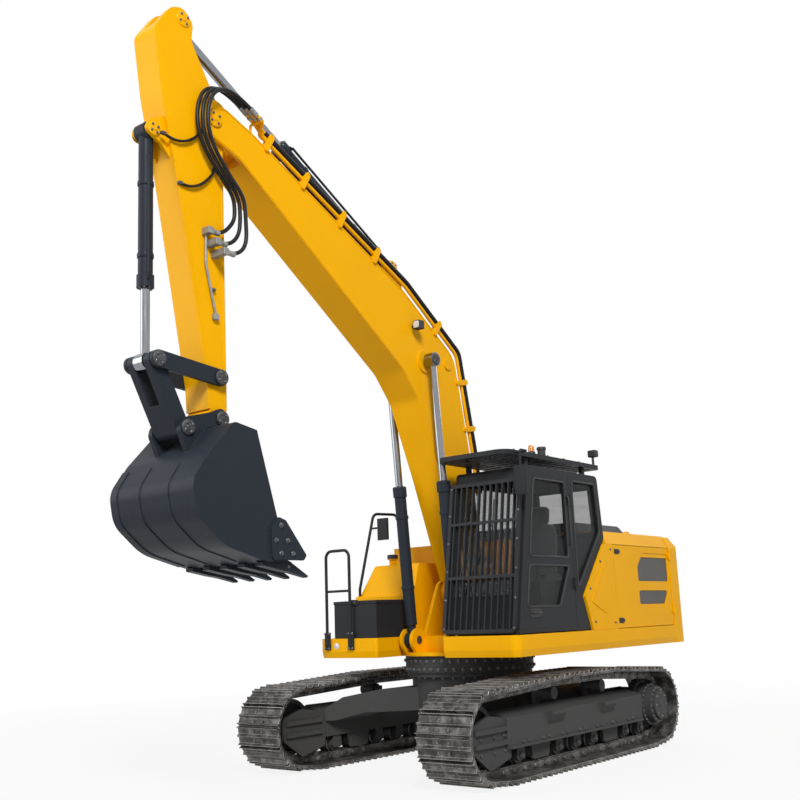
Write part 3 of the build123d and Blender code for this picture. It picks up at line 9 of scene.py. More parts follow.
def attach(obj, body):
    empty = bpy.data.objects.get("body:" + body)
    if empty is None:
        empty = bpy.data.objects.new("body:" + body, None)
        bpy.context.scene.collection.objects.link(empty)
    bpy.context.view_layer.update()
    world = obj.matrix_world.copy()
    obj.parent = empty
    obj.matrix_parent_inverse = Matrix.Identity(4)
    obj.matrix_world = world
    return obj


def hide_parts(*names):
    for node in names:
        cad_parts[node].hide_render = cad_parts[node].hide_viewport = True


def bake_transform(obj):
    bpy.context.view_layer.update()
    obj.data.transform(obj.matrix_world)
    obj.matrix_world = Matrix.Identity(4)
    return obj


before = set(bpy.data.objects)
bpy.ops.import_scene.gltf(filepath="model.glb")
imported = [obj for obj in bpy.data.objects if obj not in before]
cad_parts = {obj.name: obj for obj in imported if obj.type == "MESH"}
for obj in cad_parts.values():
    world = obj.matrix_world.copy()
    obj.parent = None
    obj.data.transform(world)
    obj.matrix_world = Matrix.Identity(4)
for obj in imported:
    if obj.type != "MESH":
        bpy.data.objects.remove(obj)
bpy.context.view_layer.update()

bl_info = {
    "name": "Crawler excavator dressing",
    "version": (1, 0, 0),
    "blender": (4, 5, 0),
    "location": "3D View > Sidebar > Excavator",
    "description": "Paints the excavator's frame and adds its hoses, bolts, seals, upholstery and trim",
    "category": "Object",
}

FINISHES = {}
# Finish of each frame material, and of nodes that differ from theirs
NODE_FINISH = {
    "yellow_paint": "machine_yellow",
    "dark_paint": "chassis_paint",
    "worn_steel": "track_steel",
    "chromed_rod": "rod_chrome",
    "pin_steel": "pin_steel",
    "cab_glass": "cab_glass",
    "black_paint": "cab_paint",
    "bucket_paint": "bucket_paint",
    "seat_trim": "seat_cloth",
    "lamp_plastic": "amber_lens",
    "hose_rubber": "hose_rubber",
}
NODE_OWN = {
    "service_grilles": "grille_mesh",
    "cab_controls": "moulded_black",
    "boom_lamp": "moulded_black",
    "arm_fittings": "zinc_plate",
}

# Side-view rows of points are (x, z)
HOSE_LOOP = ((3.560, 6.310), (3.800, 6.440), (4.060, 6.400), (4.170, 6.150),
             (4.130, 5.850), (3.900, 5.580), (3.720, 5.420), (3.700, 5.230))
HOSE_ENDS = ((4.010, 4.995), (3.960, 4.890), (3.905, 4.800))
FEED_ENDS = np.array(((3.298, 0.176, 6.190), (3.298, 0.190, 6.217), (3.325, 0.190, 6.158)))
BOOM_OUTLINE = ((-0.112, 1.840), (0.086, 3.400), (0.310, 4.480), (1.200, 5.085), (3.430, 6.130), (3.880, 6.300),
                (4.020, 5.950), (3.620, 5.816), (1.800, 4.550), (1.270, 4.180), (1.020, 3.880), (0.663, 3.071),
                (0.213, 1.920))
BOOM_ROUNDS = (0.0, 0.8, 0.32, 0.5, 0.4, 0.12, 0.12, 0.3, 0.6, 0.4, 0.3, 0.9, 0.0)
# Body, x, z, y of the end face, radius
PIN_ENDS = (
    ("upper", 0.050, 1.800, 0.2625, 0.075),
    ("upper", 0.630, 1.290, 0.4035, 0.07),
    ("boom", 3.940, 6.120, 0.208, 0.085),
    ("boom", 1.300, 5.360, 0.133, 0.07),
    ("boom_rods", 0.880, 4.330, 0.364, 0.07),
    ("arm", 4.275, 7.010, 0.150, 0.08),
    ("arm", 3.850, 3.290, 0.225, 0.07),
    ("arm", 3.850, 3.665, 0.215, 0.07),
    ("arm", 4.555, 5.820, 0.116, 0.065),
    ("rockers", 4.520, 3.725, 0.197, 0.07),
    ("bucket", 4.228, 3.170, 0.223, 0.07),
)
# Barrel, foot eye, rod eye, y, barrel radius, rod radius, barrel length, turn of the feed pipe
CYLINDERS = (
    ("boom_barrels", (0.630, 1.290), (0.880, 4.330), 0.310, 0.066, 0.042, 1.690, 0.9),
    ("arm_barrel", (1.300, 5.360), (4.275, 7.010), 0.0, 0.080, 0.050, 1.860, 1.2),
    ("bucket_barrel", (4.555, 5.820), (4.520, 3.725), 0.0, 0.064, 0.040, 1.440, 1.2),
)
SHOES = 48
# x, z, radius
WHEELS = ((1.74, 0.45, 0.285), (-1.74, 0.45, 0.285), (-1.44, 0.215, 0.08), (1.44, 0.215, 0.08),
          (0.35, 0.735, 0.065), (-0.67, 0.735, 0.065))
DOOR_UPPER = ((-0.060, 2.1095), (-0.060, 2.920), (0.5651, 2.920), (0.7215, 2.1095))
DOOR_LOWER = ((-0.060, 2.0195), (0.7389, 2.0195), (0.8198, 1.600), (0.180, 1.600))
QUARTER = ((-0.230, 2.950), (-0.740, 2.950), (-0.790, 2.4089), (-0.230, 1.790))
RIGHT_WINDOW = ((-0.700, 2.920), (-0.760, 2.4089), (-0.300, 1.860), (0.7819, 1.900), (0.5851, 2.920))
# y, z
SCREEN = ((0.515, 1.72), (1.24, 1.72), (1.24, 2.92), (0.515, 2.92))
CAB_FOOT_X, CAB_FOOT_Z, CAB_LEAN, CAB_TALL = 1.000, 1.340, 0.330, 1.710
CAB_LEFT, CAB_RIGHT, ROOF_Z = 1.331, 0.424, 3.2005
SEAT_Y, LEVER_Y = 0.8775, (0.5675, 1.1875)
BOOM_FACE, ARM_FACE = 0.2, 0.15
HOSE_SIZE, HOSE_Y, HOSE_GAP = 0.038, 0.215, 0.0437
TRACK_Y, DRIVE_X, DRIVE_Z = 1.19, -1.74, 0.45
ROLLERS, ROLLER_Z = np.linspace(-1.44, 1.44, 9), 0.215
FLOOR_RADIUS, FLOOR_Z, LAMP_AIM = 60.0, -0.002, (0.8, 0.0, 2.6)
UP, AHEAD, ACROSS = (0.0, 0.0, 1.0), (1.0, 0.0, 0.0), (0.0, 1.0, 0.0)
SIDES = (1, -1)
SEEN_RAYS = ("Is Camera Ray", "Is Transmission Ray", "Is Glossy Ray")
WHITE = (1.0, 1.0, 1.0, 1.0)
# Turned shapes: number of sides, then radius and height of each point
PROFILES = {
    "bolt_head": (6, (0.0, 0.62), (0.42, 0.62), (0.5, 0.55), (0.5, 0.1)),
    "washer": (12, (0.0, 0.12), (0.62, 0.12), (0.66, 0.06), (0.66, -0.05)),
    "collar": (24, (0.017, -0.014), (0.026, -0.014), (0.028, 0.0), (0.026, 0.014), (0.017, 0.014)),
    "crimp": (20, (0.0, 0.0), (0.019, 0.0), (0.026, 0.006), (0.026, 0.05), (0.022, 0.056), (0.026, 0.062),
              (0.026, 0.095), (0.0, 0.095)),
    "shoe_bolt": (6, (0.0, 0.014), (0.009, 0.014), (0.0125, 0.011), (0.0125, -0.002)),
    "track_pin": (12, (0.0, 0.006), (0.01, 0.010), (0.019, 0.010), (0.022, 0.006), (0.022, -0.004)),
    "drive_plug": (24, (0.0, 0.02), (0.022, 0.02), (0.028, 0.014), (0.028, 0.006), (0.05, 0.004), (0.05, -0.004)),
    "roller_shaft": (20, (0.0, 0.026), (0.018, 0.026), (0.023, 0.021), (0.023, 0.012), (0.034, 0.010),
                     (0.034, -0.006)),
    "roller_flange": (40, (0.06, 0.0055), (0.094, 0.0055), (0.098, 0.002), (0.098, -0.002), (0.094, -0.0055),
                      (0.06, -0.0055)),
    "wiper_boss": (20, (0.0, 0.02), (0.018, 0.018), (0.024, 0.0), (0.024, -0.01)),
    "beacon": (40, (0.0, 0.105), (0.014, 0.103), (0.026, 0.095), (0.0335, 0.078), (0.034, 0.03), (0.0, 0.03)),
    "beacon_foot": (40, (0.0, 0.0), (0.042, 0.0), (0.042, 0.022), (0.036, 0.030), (0.0, 0.030)),
    "intake": (40, (0.0, 0.0), (0.044, 0.0), (0.044, 0.066), (0.052, 0.070), (0.052, 0.090), (0.046, 0.1),
               (0.0, 0.104)),
    "deck_lens": (32, (0.02, 0.002), (0.034, 0.002), (0.036, 0.006), (0.031, 0.009), (0.0, 0.012)),
    "boot": (28, (0.052, 0.0), (0.05, 0.014), (0.042, 0.018), (0.042, 0.03), (0.032, 0.035), (0.032, 0.046),
             (0.022, 0.052), (0.016, 0.07), (0.0, 0.07)),
    "grip": (28, (0.0, 0.0), (0.018, 0.0), (0.023, 0.03), (0.02, 0.07), (0.026, 0.105), (0.034, 0.135),
             (0.026, 0.16), (0.0, 0.165)),
    "stud": (8, (0.0, 0.005), (0.006, 0.005), (0.011, 0.0), (0.011, -0.001)),
    "tooth_pin": (16, (0.0, 0.005), (0.012, 0.005), (0.016, 0.001), (0.016, -0.006)),
}


class Wire:
    """A shader socket that takes part in sums, each adding one Math node."""

    def __init__(self, finish, socket):
        self.finish = finish
        self.socket = socket

    def math(self, operation, *values):
        """One Math node on values or links."""
        return self.finish.node("ShaderNodeMath", {"operation": operation}, dict(enumerate(values)))

    def __add__(self, other):
        return self.math("ADD", self, other)

    def __radd__(self, other):
        return self.math("ADD", other, self)

    def __sub__(self, other):
        return self.math("SUBTRACT", self, other)

    def __rsub__(self, other):
        return self.math("SUBTRACT", other, self)

    def __mul__(self, other):
        return self.math("MULTIPLY", self, other)

    def __rmul__(self, other):
        return self.math("MULTIPLY", other, self)

    def above(self, edge, width):
        """0 below edge, 1 above edge + width, straight between."""
        span = {"From Min": edge, "From Max": edge + width}
        return self.finish.node("ShaderNodeMapRange", {"clamp": True}, {"Value": self, **span})


class Tree:
    """A node tree and the maker of its nodes."""

    def __init__(self, owner):
        owner.use_nodes = True
        self.tree = owner.node_tree

    def node(self, kind, settings=None, sockets=None, output=0):
        """Any node: its settings first, then the values or links of its sockets."""
        made = self.tree.nodes.new(kind)
        for key, value in (settings or {}).items():
            setattr(made, key, value)
        for key, value in (sockets or {}).items():
            self.put(made.inputs[key], value)
        return Wire(self, made.outputs[output]) if made.outputs else None

    def put(self, target, value):
        """A link or a plain value into a socket."""
        if isinstance(value, Wire):
            self.tree.links.new(value.socket, target)
        else:
            target.default_value = value

    def seen(self):
        """1 for rays from the camera, through glass or off a mirror, 0 for the others."""
        seen, *others = (self.node("ShaderNodeLightPath", output=ray) for ray in SEEN_RAYS)
        for ray in others:
            seen = seen.math("MAXIMUM", seen, ray)
        return seen


class Finish(Tree):
    """One procedural material: a Principled shader and a maker of every other node."""

    def __init__(self, name, **constants):
        material = bpy.data.materials.new(name)
        super().__init__(material)
        self.shader = self.tree.nodes["Principled BSDF"]
        self.feed(**constants)
        FINISHES[name] = material

    def feed(self, **sockets):
        """Links or values into the shader's own sockets."""
        for socket, value in sockets.items():
            self.put(self.shader.inputs[socket.replace("_", " ")], value)

    def place(self):
        """Object coordinates."""
        return self.node("ShaderNodeTexCoord", output="Object")

    def noise(self, scale, detail=2.0, rough=0.5, where=None):
        """Cloudy noise of a given scale."""
        sockets = {"Vector": where or self.place(), "Scale": scale, "Detail": detail, "Roughness": rough}
        return self.node("ShaderNodeTexNoise", None, sockets)

    def stripes(self, direction, scale, where=None):
        """Stripes along a direction, a sine of the distance."""
        sockets = {"Vector": where or self.place(), "Scale": scale}
        return self.node("ShaderNodeTexWave", {"bands_direction": direction}, sockets)

    def stretched(self, x, y, z):
        """Object coordinates scaled along each axis."""
        return self.node("ShaderNodeMapping", None, {"Vector": self.place(), "Scale": (x, y, z)})

    def height(self):
        """Height above the ground."""
        return self.node("ShaderNodeSeparateXYZ", None, {"Vector": self.place()}, "Z")

    def facing_up(self):
        """Share of the normal that points up."""
        normal = self.node("ShaderNodeNewGeometry", output="Normal")
        return self.node("ShaderNodeSeparateXYZ", None, {"Vector": normal}, "Z")

    def mix(self, share, one, other):
        """Colour between two by a share."""
        one, other = ((*c, 1.0) if isinstance(c, tuple) and len(c) == 3 else c for c in (one, other))
        return self.node("ShaderNodeMix", {"data_type": "RGBA"}, {0: share, 6: one, 7: other}, 2)

    def rounded(self, radius):
        """Normal rounded over sharp edges, and a mask of those edges."""
        soft = self.node("ShaderNodeBevel", {"samples": 4}, {"Radius": radius})
        hard = self.node("ShaderNodeNewGeometry", output="Normal")
        agree = self.node("ShaderNodeVectorMath", {"operation": "DOT_PRODUCT"}, {0: soft, 1: hard}, "Value")
        return soft, (1.0 - agree).above(0.02, 0.2)

    def bump(self, height, strength, distance, normal=None):
        """Normal tilted by the slope of a height."""
        sockets = {"Height": height, "Strength": strength, "Distance": distance}
        if normal:
            sockets["Normal"] = normal
        return self.node("ShaderNodeBump", None, sockets)


def surface(points, wrap=False):
    """Quads over a grid of points, closed along the second direction when wrap is set."""
    rows, cols = points.shape[:2]
    index = np.arange(rows * cols).reshape(rows, cols)
    right = np.roll(index, -1, axis=1) if wrap else index[:, 1:]
    left = index if wrap else index[:, :-1]
    quads = np.stack((left[:-1], right[:-1], right[1:], left[1:]), axis=-1)
    return points.reshape(-1, 3), quads.reshape(-1, 4)


def unit(vectors):
    """Vectors scaled to length one."""
    return vectors / np.linalg.norm(vectors, axis=-1, keepdims=True)


def points_of(*coordinates):
    """Points from their coordinates, each spread over the same grid."""
    return np.stack(np.broadcast_arrays(*coordinates), axis=-1)


def aside(directions):
    """Side-view directions turned a quarter clockwise."""
    return points_of(directions[:, 1], -directions[:, 0])


def angles(count):
    """Even angles round a full turn."""
    return np.linspace(0.0, 2 * np.pi, count, endpoint=False)


def squared(wave, power):
    """Signed power of a sine or cosine, which squares a round off."""
    return np.sign(wave) * np.abs(wave) ** power


def lengths(points):
    """Length run up to each point of a row."""
    return np.concatenate(([0.0], np.cumsum(np.linalg.norm(np.diff(points, axis=0), axis=1))))


def at_lengths(points, at):
    """Side-view points at given lengths along a row."""
    run = lengths(points)
    return np.stack([np.interp(at, run, points[:, i]) for i in (0, 1)], axis=-1)


def half_turn(back, ahead):
    """Half the angle by which a row turns at each corner, from the directions to its neighbours."""
    return (math.pi - np.arccos(np.clip((back * ahead).sum(axis=1), -1.0, 1.0))) / 2


def corner_curves(start, corner, end, steps):
    """Quadratic curve at each corner, from start to end and drawn towards the corner."""
    t = np.linspace(0.0, 1.0, steps)[None, :, None]
    start, corner, end = start[:, None], corner[:, None], end[:, None]
    curves = (1 - t) ** 2 * start + 2 * t * (1 - t) * corner + t**2 * end
    return curves.reshape(-1, curves.shape[-1])


def frame_at(origin, axis, spin=0.0):
    """4 x 4 places whose Z runs along axis, turned about it by spin."""
    origin, axis = np.atleast_2d(np.asarray(origin, float)), np.atleast_2d(np.asarray(axis, float))
    axis = unit(np.broadcast_to(axis, origin.shape))
    guide = np.where(np.abs(axis[:, 2:]) > 0.9, AHEAD, UP)
    side = unit(np.cross(guide, axis))
    other = np.cross(axis, side)
    spin = np.broadcast_to(np.asarray(spin, float).reshape(-1, 1), (len(origin), 1))
    place = np.zeros((len(origin), 4, 4))
    place[:, :3, 0] = side * np.cos(spin) + other * np.sin(spin)
    place[:, :3, 1] = other * np.cos(spin) - side * np.sin(spin)
    place[:, :3, 2] = axis
    place[:, :3, 3] = origin
    place[:, 3, 3] = 1.0
    return place


def repeat(part, places):
    """A small shape set at every place."""
    points, faces = part
    moved = np.einsum("kij,nj->kni", places[:, :3, :3], points) + places[:, None, :3, 3]
    step = np.arange(len(places))[:, None, None] * len(points)
    return moved.reshape(-1, 3), (faces[None] + step).reshape(-1, 4)


def turned(profile, sides):
    """Surface of revolution about Z: each (radius, height) of the profile swept round."""
    profile = np.asarray(profile, float)
    turn = angles(sides)[None, :]
    radius, height = profile[:, :1], profile[:, 1:]
    return surface(points_of(radius * np.cos(turn), radius * np.sin(turn), height), wrap=True)


def lathe(name):
    """Surface of revolution of a named profile."""
    sides, *profile = PROFILES[name]
    return turned(profile, sides)


def placed(name, spots, axes):
    """A named profile's surface of revolution at every spot, standing along the axes."""
    return repeat(lathe(name), frame_at(spots, axes))


def circle(radius, sides):
    """Closed round profile."""
    turn = angles(sides)
    return radius * points_of(np.cos(turn), np.sin(turn))


def carried(path, profile, loop=False, swell=None):
    """Profile carried along a path, its first direction kept level; swell scales it at each station."""
    path = np.asarray(path, float)
    ahead = np.roll(path, -1, axis=0) - np.roll(path, 1, axis=0) if loop else np.gradient(path, axis=0)
    ahead = unit(ahead)
    guide = ACROSS if np.abs(ahead[:, 1]).max() < 0.92 else (0.31, 0.2, 0.93)
    side = unit(np.cross(ahead, guide))
    up = np.cross(side, ahead)
    size = np.ones(len(path)) if swell is None else swell
    section = profile[None, :, :1] * side[:, None] + profile[None, :, 1:] * up[:, None]
    grid = path[:, None] + size[:, None, None] * section
    if loop:
        grid = np.concatenate((grid, grid[:1]))
    else:
        ends = np.broadcast_to(path[[0, -1], None], (2, len(profile), 3))
        grid = np.concatenate((ends[:1], grid, ends[1:]))
    return surface(grid, wrap=True)


def smooth_path(points, steps=10):
    """Catmull-Rom curve through points: each span a cubic of its four neighbours."""
    points = np.asarray(points, float)
    ends = np.concatenate((2 * points[:1] - points[1:2], points, 2 * points[-1:] - points[-2:-1]))
    t = np.linspace(0.0, 1.0, steps, endpoint=False)[None, :, None]
    a, b, c, d = (ends[i:len(ends) - 3 + i, None] for i in range(4))
    curve = 0.5 * (2 * b + (c - a) * t + (2 * a - 5 * b + 4 * c - d) * t**2 + (3 * b - a - 3 * c + d) * t**3)
    return np.concatenate((curve.reshape(-1, points.shape[1]), points[-1:]))


def rounded_loop(points, radius, steps=6):
    """Closed row of points, each corner a quadratic curve between points radius away on its two sides."""
    points = np.asarray(points, float)
    reach = np.broadcast_to(np.asarray(radius, float), len(points))[:, None]
    back = unit(np.roll(points, 1, axis=0) - points) * reach
    ahead = unit(np.roll(points, -1, axis=0) - points) * reach
    return corner_curves(points + back, points, points + ahead, steps)


def pillow(centre, half, power, rows=28, cols=48):
    """Superellipsoid: each coordinate a signed power of the sphere's sines and cosines."""
    lift = np.linspace(-np.pi / 2, np.pi / 2, rows)[:, None]
    turn = angles(cols)[None, :]
    x = squared(np.cos(lift), power) * squared(np.cos(turn), power) * half[0]
    y = squared(np.cos(lift), power) * squared(np.sin(turn), power) * half[1]
    z = squared(np.sin(lift), power) * half[2]
    return points_of(x, y, z) + np.asarray(centre, float)


def pad(*shape):
    """Surface of a superellipsoid."""
    return surface(pillow(*shape), wrap=True)


def bolt(width):
    """Hexagon head with a chamfered top, standing on a round washer."""
    return [(points * width, faces) for points, faces in (lathe("bolt_head"), lathe("washer"))]


def bolts(name, origins, axes, width, finish, body):
    """Bolt heads at many places."""
    places = frame_at(origins, axes, np.arange(len(origins)) * 0.7)
    return add_piece(name, [repeat(part, places) for part in bolt(width)], finish, body)


def ring_of(centre, axis, radius, count, start=0.0):
    """Points round a circle about an axis."""
    turn = angles(count) + start
    flat = points_of(radius * np.cos(turn), radius * np.sin(turn), 0.0, 1.0)
    return (frame_at(centre, axis)[0] @ flat.T).T[:, :3]


def mirrored(points):
    """Points with their images across the centre plane."""
    points = np.asarray(points, float)
    return np.concatenate((points, points * (1.0, -1.0, 1.0)))


def outwards(points):
    """Direction away from the centre plane at each point."""
    return np.sign(points[:, 1:2]) * ACROSS


def ripple(count, depth, pace):
    """Swell along a weld bead: one plus a sine of the station's number."""
    return 1.0 + depth * np.sin(np.arange(count) * pace)


def add_piece(name, parts, finish, body, smooth=35.0):
    """One mesh object from surfaces, welded, facing outwards and riding on a body."""
    counts = np.cumsum([0] + [len(points) for points, faces in parts])
    points = np.concatenate([part[0] for part in parts])
    faces = np.concatenate([part[1] + start for part, start in zip(parts, counts)])
    mesh = bpy.data.meshes.new(name)
    mesh.from_pydata(points.tolist(), [], faces.tolist())
    build = bmesh.new()
    build.from_mesh(mesh)
    bmesh.ops.remove_doubles(build, verts=build.verts, dist=1e-5)
    bmesh.ops.recalc_face_normals(build, faces=build.faces)
    build.to_mesh(mesh)
    build.free()
    mesh.shade_smooth()
    mesh.set_sharp_from_angle(angle=math.radians(smooth))
    piece = bpy.data.objects.new(name, mesh)
    bpy.context.scene.collection.objects.link(piece)
    if finish in FINISHES:
        mesh.materials.append(FINISHES[finish])
    if body:
        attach(piece, body)
    return piece


def spline_points(name, route):
    """Points read from a NURBS spline whose control points are the route's."""
    curve = bpy.data.curves.new(name + "_route", "CURVE")
    curve.dimensions = "3D"
    curve.resolution_u = 10
    spline = curve.splines.new("NURBS")
    spline.points.add(len(route) - 1)
    spline.points.foreach_set("co", np.column_stack((route, np.ones(len(route)))).ravel())
    spline.order_u = 3
    spline.use_endpoint_u = True
    holder = bpy.data.objects.new(name + "_route", curve)
    bpy.context.scene.collection.objects.link(holder)
    bpy.context.view_layer.update()
    mesh = bpy.data.meshes.new_from_object(holder.evaluated_get(bpy.context.evaluated_depsgraph_get()))
    points = np.zeros(len(mesh.vertices) * 3)
    mesh.vertices.foreach_get("co", points)
    bpy.data.objects.remove(holder)
    bpy.data.meshes.remove(mesh)
    return points.reshape(-1, 3)


def hose(name, route):
    """Free hose along a NURBS route."""
    path = spline_points(name, route)
    piece = add_piece(name, [carried(path, circle(HOSE_SIZE / 2, 16))], "hose_rubber", None)
    return piece


def shade(colour, factor):
    """A colour made darker or lighter."""
    return tuple(min(1.0, c * factor) for c in colour[:3])


def painted(name, colour, gloss, dust, dust_top, edge, chip):
    """Sprayed enamel: cloudy tone, orange-peel bump, road dust low down and on top faces, worn edges."""
    f = Finish(name, Coat_Roughness=0.12, IOR=1.5, Specular_IOR_Level=0.08)
    cloud = f.noise(0.9, 4.0, 0.6)
    speck = f.noise(38.0, 5.0, 0.65)
    peel = f.noise(160.0, 2.0)
    normal, rim = f.rounded(0.006)
    low = 1.0 - f.height().above(0.15, dust_top)
    flat_top = f.facing_up().above(0.6, 0.35)
    film = (low * 0.8 + flat_top * 0.25) * speck.above(0.25, 0.55) * cloud.above(0.2, 0.6) * dust
    tone = f.mix(cloud.above(0.3, 0.45), shade(colour, 0.93), colour[:3])
    tone = f.mix(rim * speck.above(0.42, 0.2) * edge, tone, chip)
    tone = f.mix(film, tone, (0.13, 0.115, 0.095))
    rough = gloss + cloud * 0.1 + film * 0.5 + speck * 0.06
    f.feed(Base_Color=tone, Roughness=rough, Coat_Weight=0.03 - film * 0.03)
    f.feed(Normal=f.bump(peel, 0.06, 0.002, normal))


def steel(name, bright, dark, gloss, scale, wear, metal=1.0):
    """Bare steel: blotches of dark skin, fine scratches, and edges rubbed bright."""
    f = Finish(name)
    blotch = f.noise(scale, 6.0, 0.65)
    scratch = f.noise(1.0, 3.0, 0.6, f.stretched(14.0, 190.0, 190.0))
    normal, rim = f.rounded(0.005)
    bare = (blotch.above(0.45, 0.25) * 0.35 + rim * wear).above(0.0, 1.0)
    f.feed(Base_Color=f.mix(bare, dark, bright), Metallic=bare * 0.55 * metal + 0.35 * metal)
    f.feed(Roughness=gloss + blotch * 0.22 - bare * 0.1)
    f.feed(Normal=f.bump(blotch * 0.6 + scratch * 0.4, 0.25, 0.002, normal))


def make_finishes(look):
    """All materials of the machine."""
    painted("machine_yellow", look.yellow, 0.3, 0.16, 0.9, 0.25, (0.45, 0.2, 0.01))
    painted("cab_paint", look.cab_black, 0.36, 0.12, 1.2, 0.25, (0.06, 0.062, 0.068))
    painted("chassis_paint", look.chassis, 0.48, 0.5, 0.9, 0.6, (0.14, 0.135, 0.13))
    painted("bucket_paint", look.slate, 0.36, 0.1, 0.6, 0.5, (0.12, 0.125, 0.135))
    steel("track_steel", (0.55, 0.53, 0.50), (0.032, 0.030, 0.028), 0.4, 9.0, 1.6)
    steel("pin_steel", (0.34, 0.34, 0.35), (0.05, 0.05, 0.052), 0.36, 22.0, 0.7)
    steel("cast_grey", (0.20, 0.20, 0.205), (0.035, 0.036, 0.04), 0.5, 16.0, 0.5, 0.5)
    steel("zinc_plate", (0.58, 0.58, 0.56), (0.24, 0.24, 0.235), 0.34, 20.0, 0.5, 0.8)
    f = Finish("rod_chrome", Metallic=1.0)
    # Painted reflection: the chrome's colour is kept dark grey with lengthwise dark and light streaks, which stand for
    # the dark surroundings mirrored in the rods; the streaks are partly oil smear as well.
    smear_and_reflection_streak = f.noise(1.0, 4.0, 0.6, f.stretched(60.0, 60.0, 4.0))
    f.feed(Base_Color=f.mix(smear_and_reflection_streak, (0.17, 0.18, 0.20), (0.36, 0.37, 0.39)), Roughness=0.1 + smear_and_reflection_streak * 0.14)
    f.feed(Normal=f.bump(smear_and_reflection_streak, 0.04, 0.001))
    f = Finish("cab_glass", IOR=1.5, Specular_IOR_Level=0.3)
    film = f.noise(3.0, 5.0, 0.7)
    wipe = f.noise(1.0, 2.0, 0.5, f.stretched(2.0, 2.0, 30.0))
    haze = film * wipe
    f.feed(Base_Color=f.mix(haze, (0.006, 0.008, 0.009), (0.05, 0.055, 0.055)), Roughness=0.02 + haze * 0.12)
    f.feed(Alpha=0.22 + haze * 0.2)
    f = Finish("grille_mesh", IOR=1.5)
    strand, cross = (f.stripes("DIAGONAL", 26.0, f.stretched(lean, 0.0, 1.0)) for lean in (1.0, -1.0))
    wire = strand.math("MAXIMUM", strand, cross).above(0.78, 0.12)
    cloud = f.noise(4.0, 3.0)
    # Painted shade: the near-black between the wires stands for the dark space seen through the mesh's openings.
    f.feed(Base_Color=f.mix(wire * (0.6 + cloud * 0.4), (0.012, 0.012, 0.013), (0.17, 0.165, 0.155)))
    f.feed(Roughness=0.6 - wire * 0.2, Normal=f.bump(wire, 0.6, 0.004))
    f = Finish("hose_rubber", IOR=1.5, Specular_IOR_Level=0.22)
    cloud = f.noise(12.0, 4.0)
    weave = f.noise(420.0, 2.0)
    f.feed(Base_Color=f.mix(cloud, (0.004, 0.004, 0.0045), (0.013, 0.013, 0.014)), Roughness=0.3 + cloud * 0.2)
    f.feed(Normal=f.bump(weave, 0.12, 0.001))
    f = Finish("moulded_black", IOR=1.48)
    cloud = f.noise(5.0, 3.0)
    grain = f.noise(300.0, 3.0, 0.6)
    normal, _ = f.rounded(0.004)
    f.feed(Base_Color=f.mix(cloud, (0.010, 0.010, 0.011), (0.022, 0.022, 0.024)), Roughness=0.48 + cloud * 0.15)
    f.feed(Normal=f.bump(grain, 0.2, 0.001, normal))
    f = Finish("seat_cloth", Sheen_Weight=0.35, Sheen_Roughness=0.5)
    warp, weft = f.stripes("Y", 90.0), f.stripes("Z", 90.0)
    cloud = f.noise(7.0, 4.0)
    weave = warp * 0.5 + weft * 0.5
    f.feed(Base_Color=f.mix(weave * 0.6 + cloud * 0.4, (0.018, 0.019, 0.021), (0.06, 0.062, 0.066)))
    f.feed(Roughness=0.82 + cloud * 0.12, Normal=f.bump(weave, 0.25, 0.001))
    for name, colour, deep in (
        ("amber_lens", (0.85, 0.30, 0.012), (0.45, 0.12, 0.004)),
        ("clear_lens", (0.80, 0.82, 0.84), (0.42, 0.44, 0.46)),
    ):
        f = Finish(name, IOR=1.5, Coat_Weight=0.6)
        flute = f.stripes("Z", 34.0)
        f.feed(Base_Color=f.mix(flute, deep, colour), Roughness=0.1 + flute * 0.1, Normal=f.bump(flute, 0.3, 0.002))
    f = Finish("mirror_glass", Metallic=1.0)
    haze = f.noise(9.0, 4.0)
    f.feed(Base_Color=f.mix(haze, (0.78, 0.8, 0.82), (0.88, 0.89, 0.9)), Roughness=0.02 + haze * 0.05)


class ExcavatorLook(bpy.types.PropertyGroup):
    """Colours and sizes that a user would change."""

    yellow: bpy.props.FloatVectorProperty(
        name="Machine yellow", description="Body and boom enamel",
        subtype="COLOR", size=3, default=(0.90, 0.43, 0.0),
    )
    cab_black: bpy.props.FloatVectorProperty(
        name="Cab black", description="Cab, guards and hood",
        subtype="COLOR", size=3, default=(0.0250, 0.0262, 0.0285),
    )
    chassis: bpy.props.FloatVectorProperty(
        name="Chassis grey", description="Track frames and carbody",
        subtype="COLOR", size=3, default=(0.058, 0.0585, 0.0590),
    )
    slate: bpy.props.FloatVectorProperty(
        name="Bucket slate", description="Bucket, links and barrels",
        subtype="COLOR", size=3, default=(0.022, 0.027, 0.036),
    )
    bead: bpy.props.FloatProperty(
        name="Weld bead", description="Radius of the boom's weld seams", default=0.0065, min=0.001, unit="LENGTH"
    )
    sleeve: bpy.props.FloatProperty(
        name="Boom sleeve", description="Radius of the hoses over the boom's pipes", default=0.025, min=0.01,
        unit="LENGTH",
    )
    gasket: bpy.props.FloatProperty(
        name="Gasket lip", description="Half width of the cab windows' gaskets", default=0.011, min=0.002,
        unit="LENGTH",
    )
    sky: bpy.props.FloatProperty(name="Sky", description="Strength of the even light", default=0.22, min=0.0)
    key_power: bpy.props.FloatProperty(
        name="Key light", description="Power of the large lamp", default=10400.0, min=0.0, unit="POWER"
    )


class EXC_OT_finishes(bpy.types.Operator):
    """Gives every frame node its procedural finish"""

    bl_idname = "excavator.finishes"
    bl_label = "Finishes"

    def execute(self, context):
        make_finishes(context.scene.excavator_look)
        for name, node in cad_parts.items():
            slot = node.data.materials[0].name.split(".")[0]
            node.data.materials.clear()
            node.data.materials.append(FINISHES[NODE_OWN.get(name, NODE_FINISH[slot])])
        return {"FINISHED"}


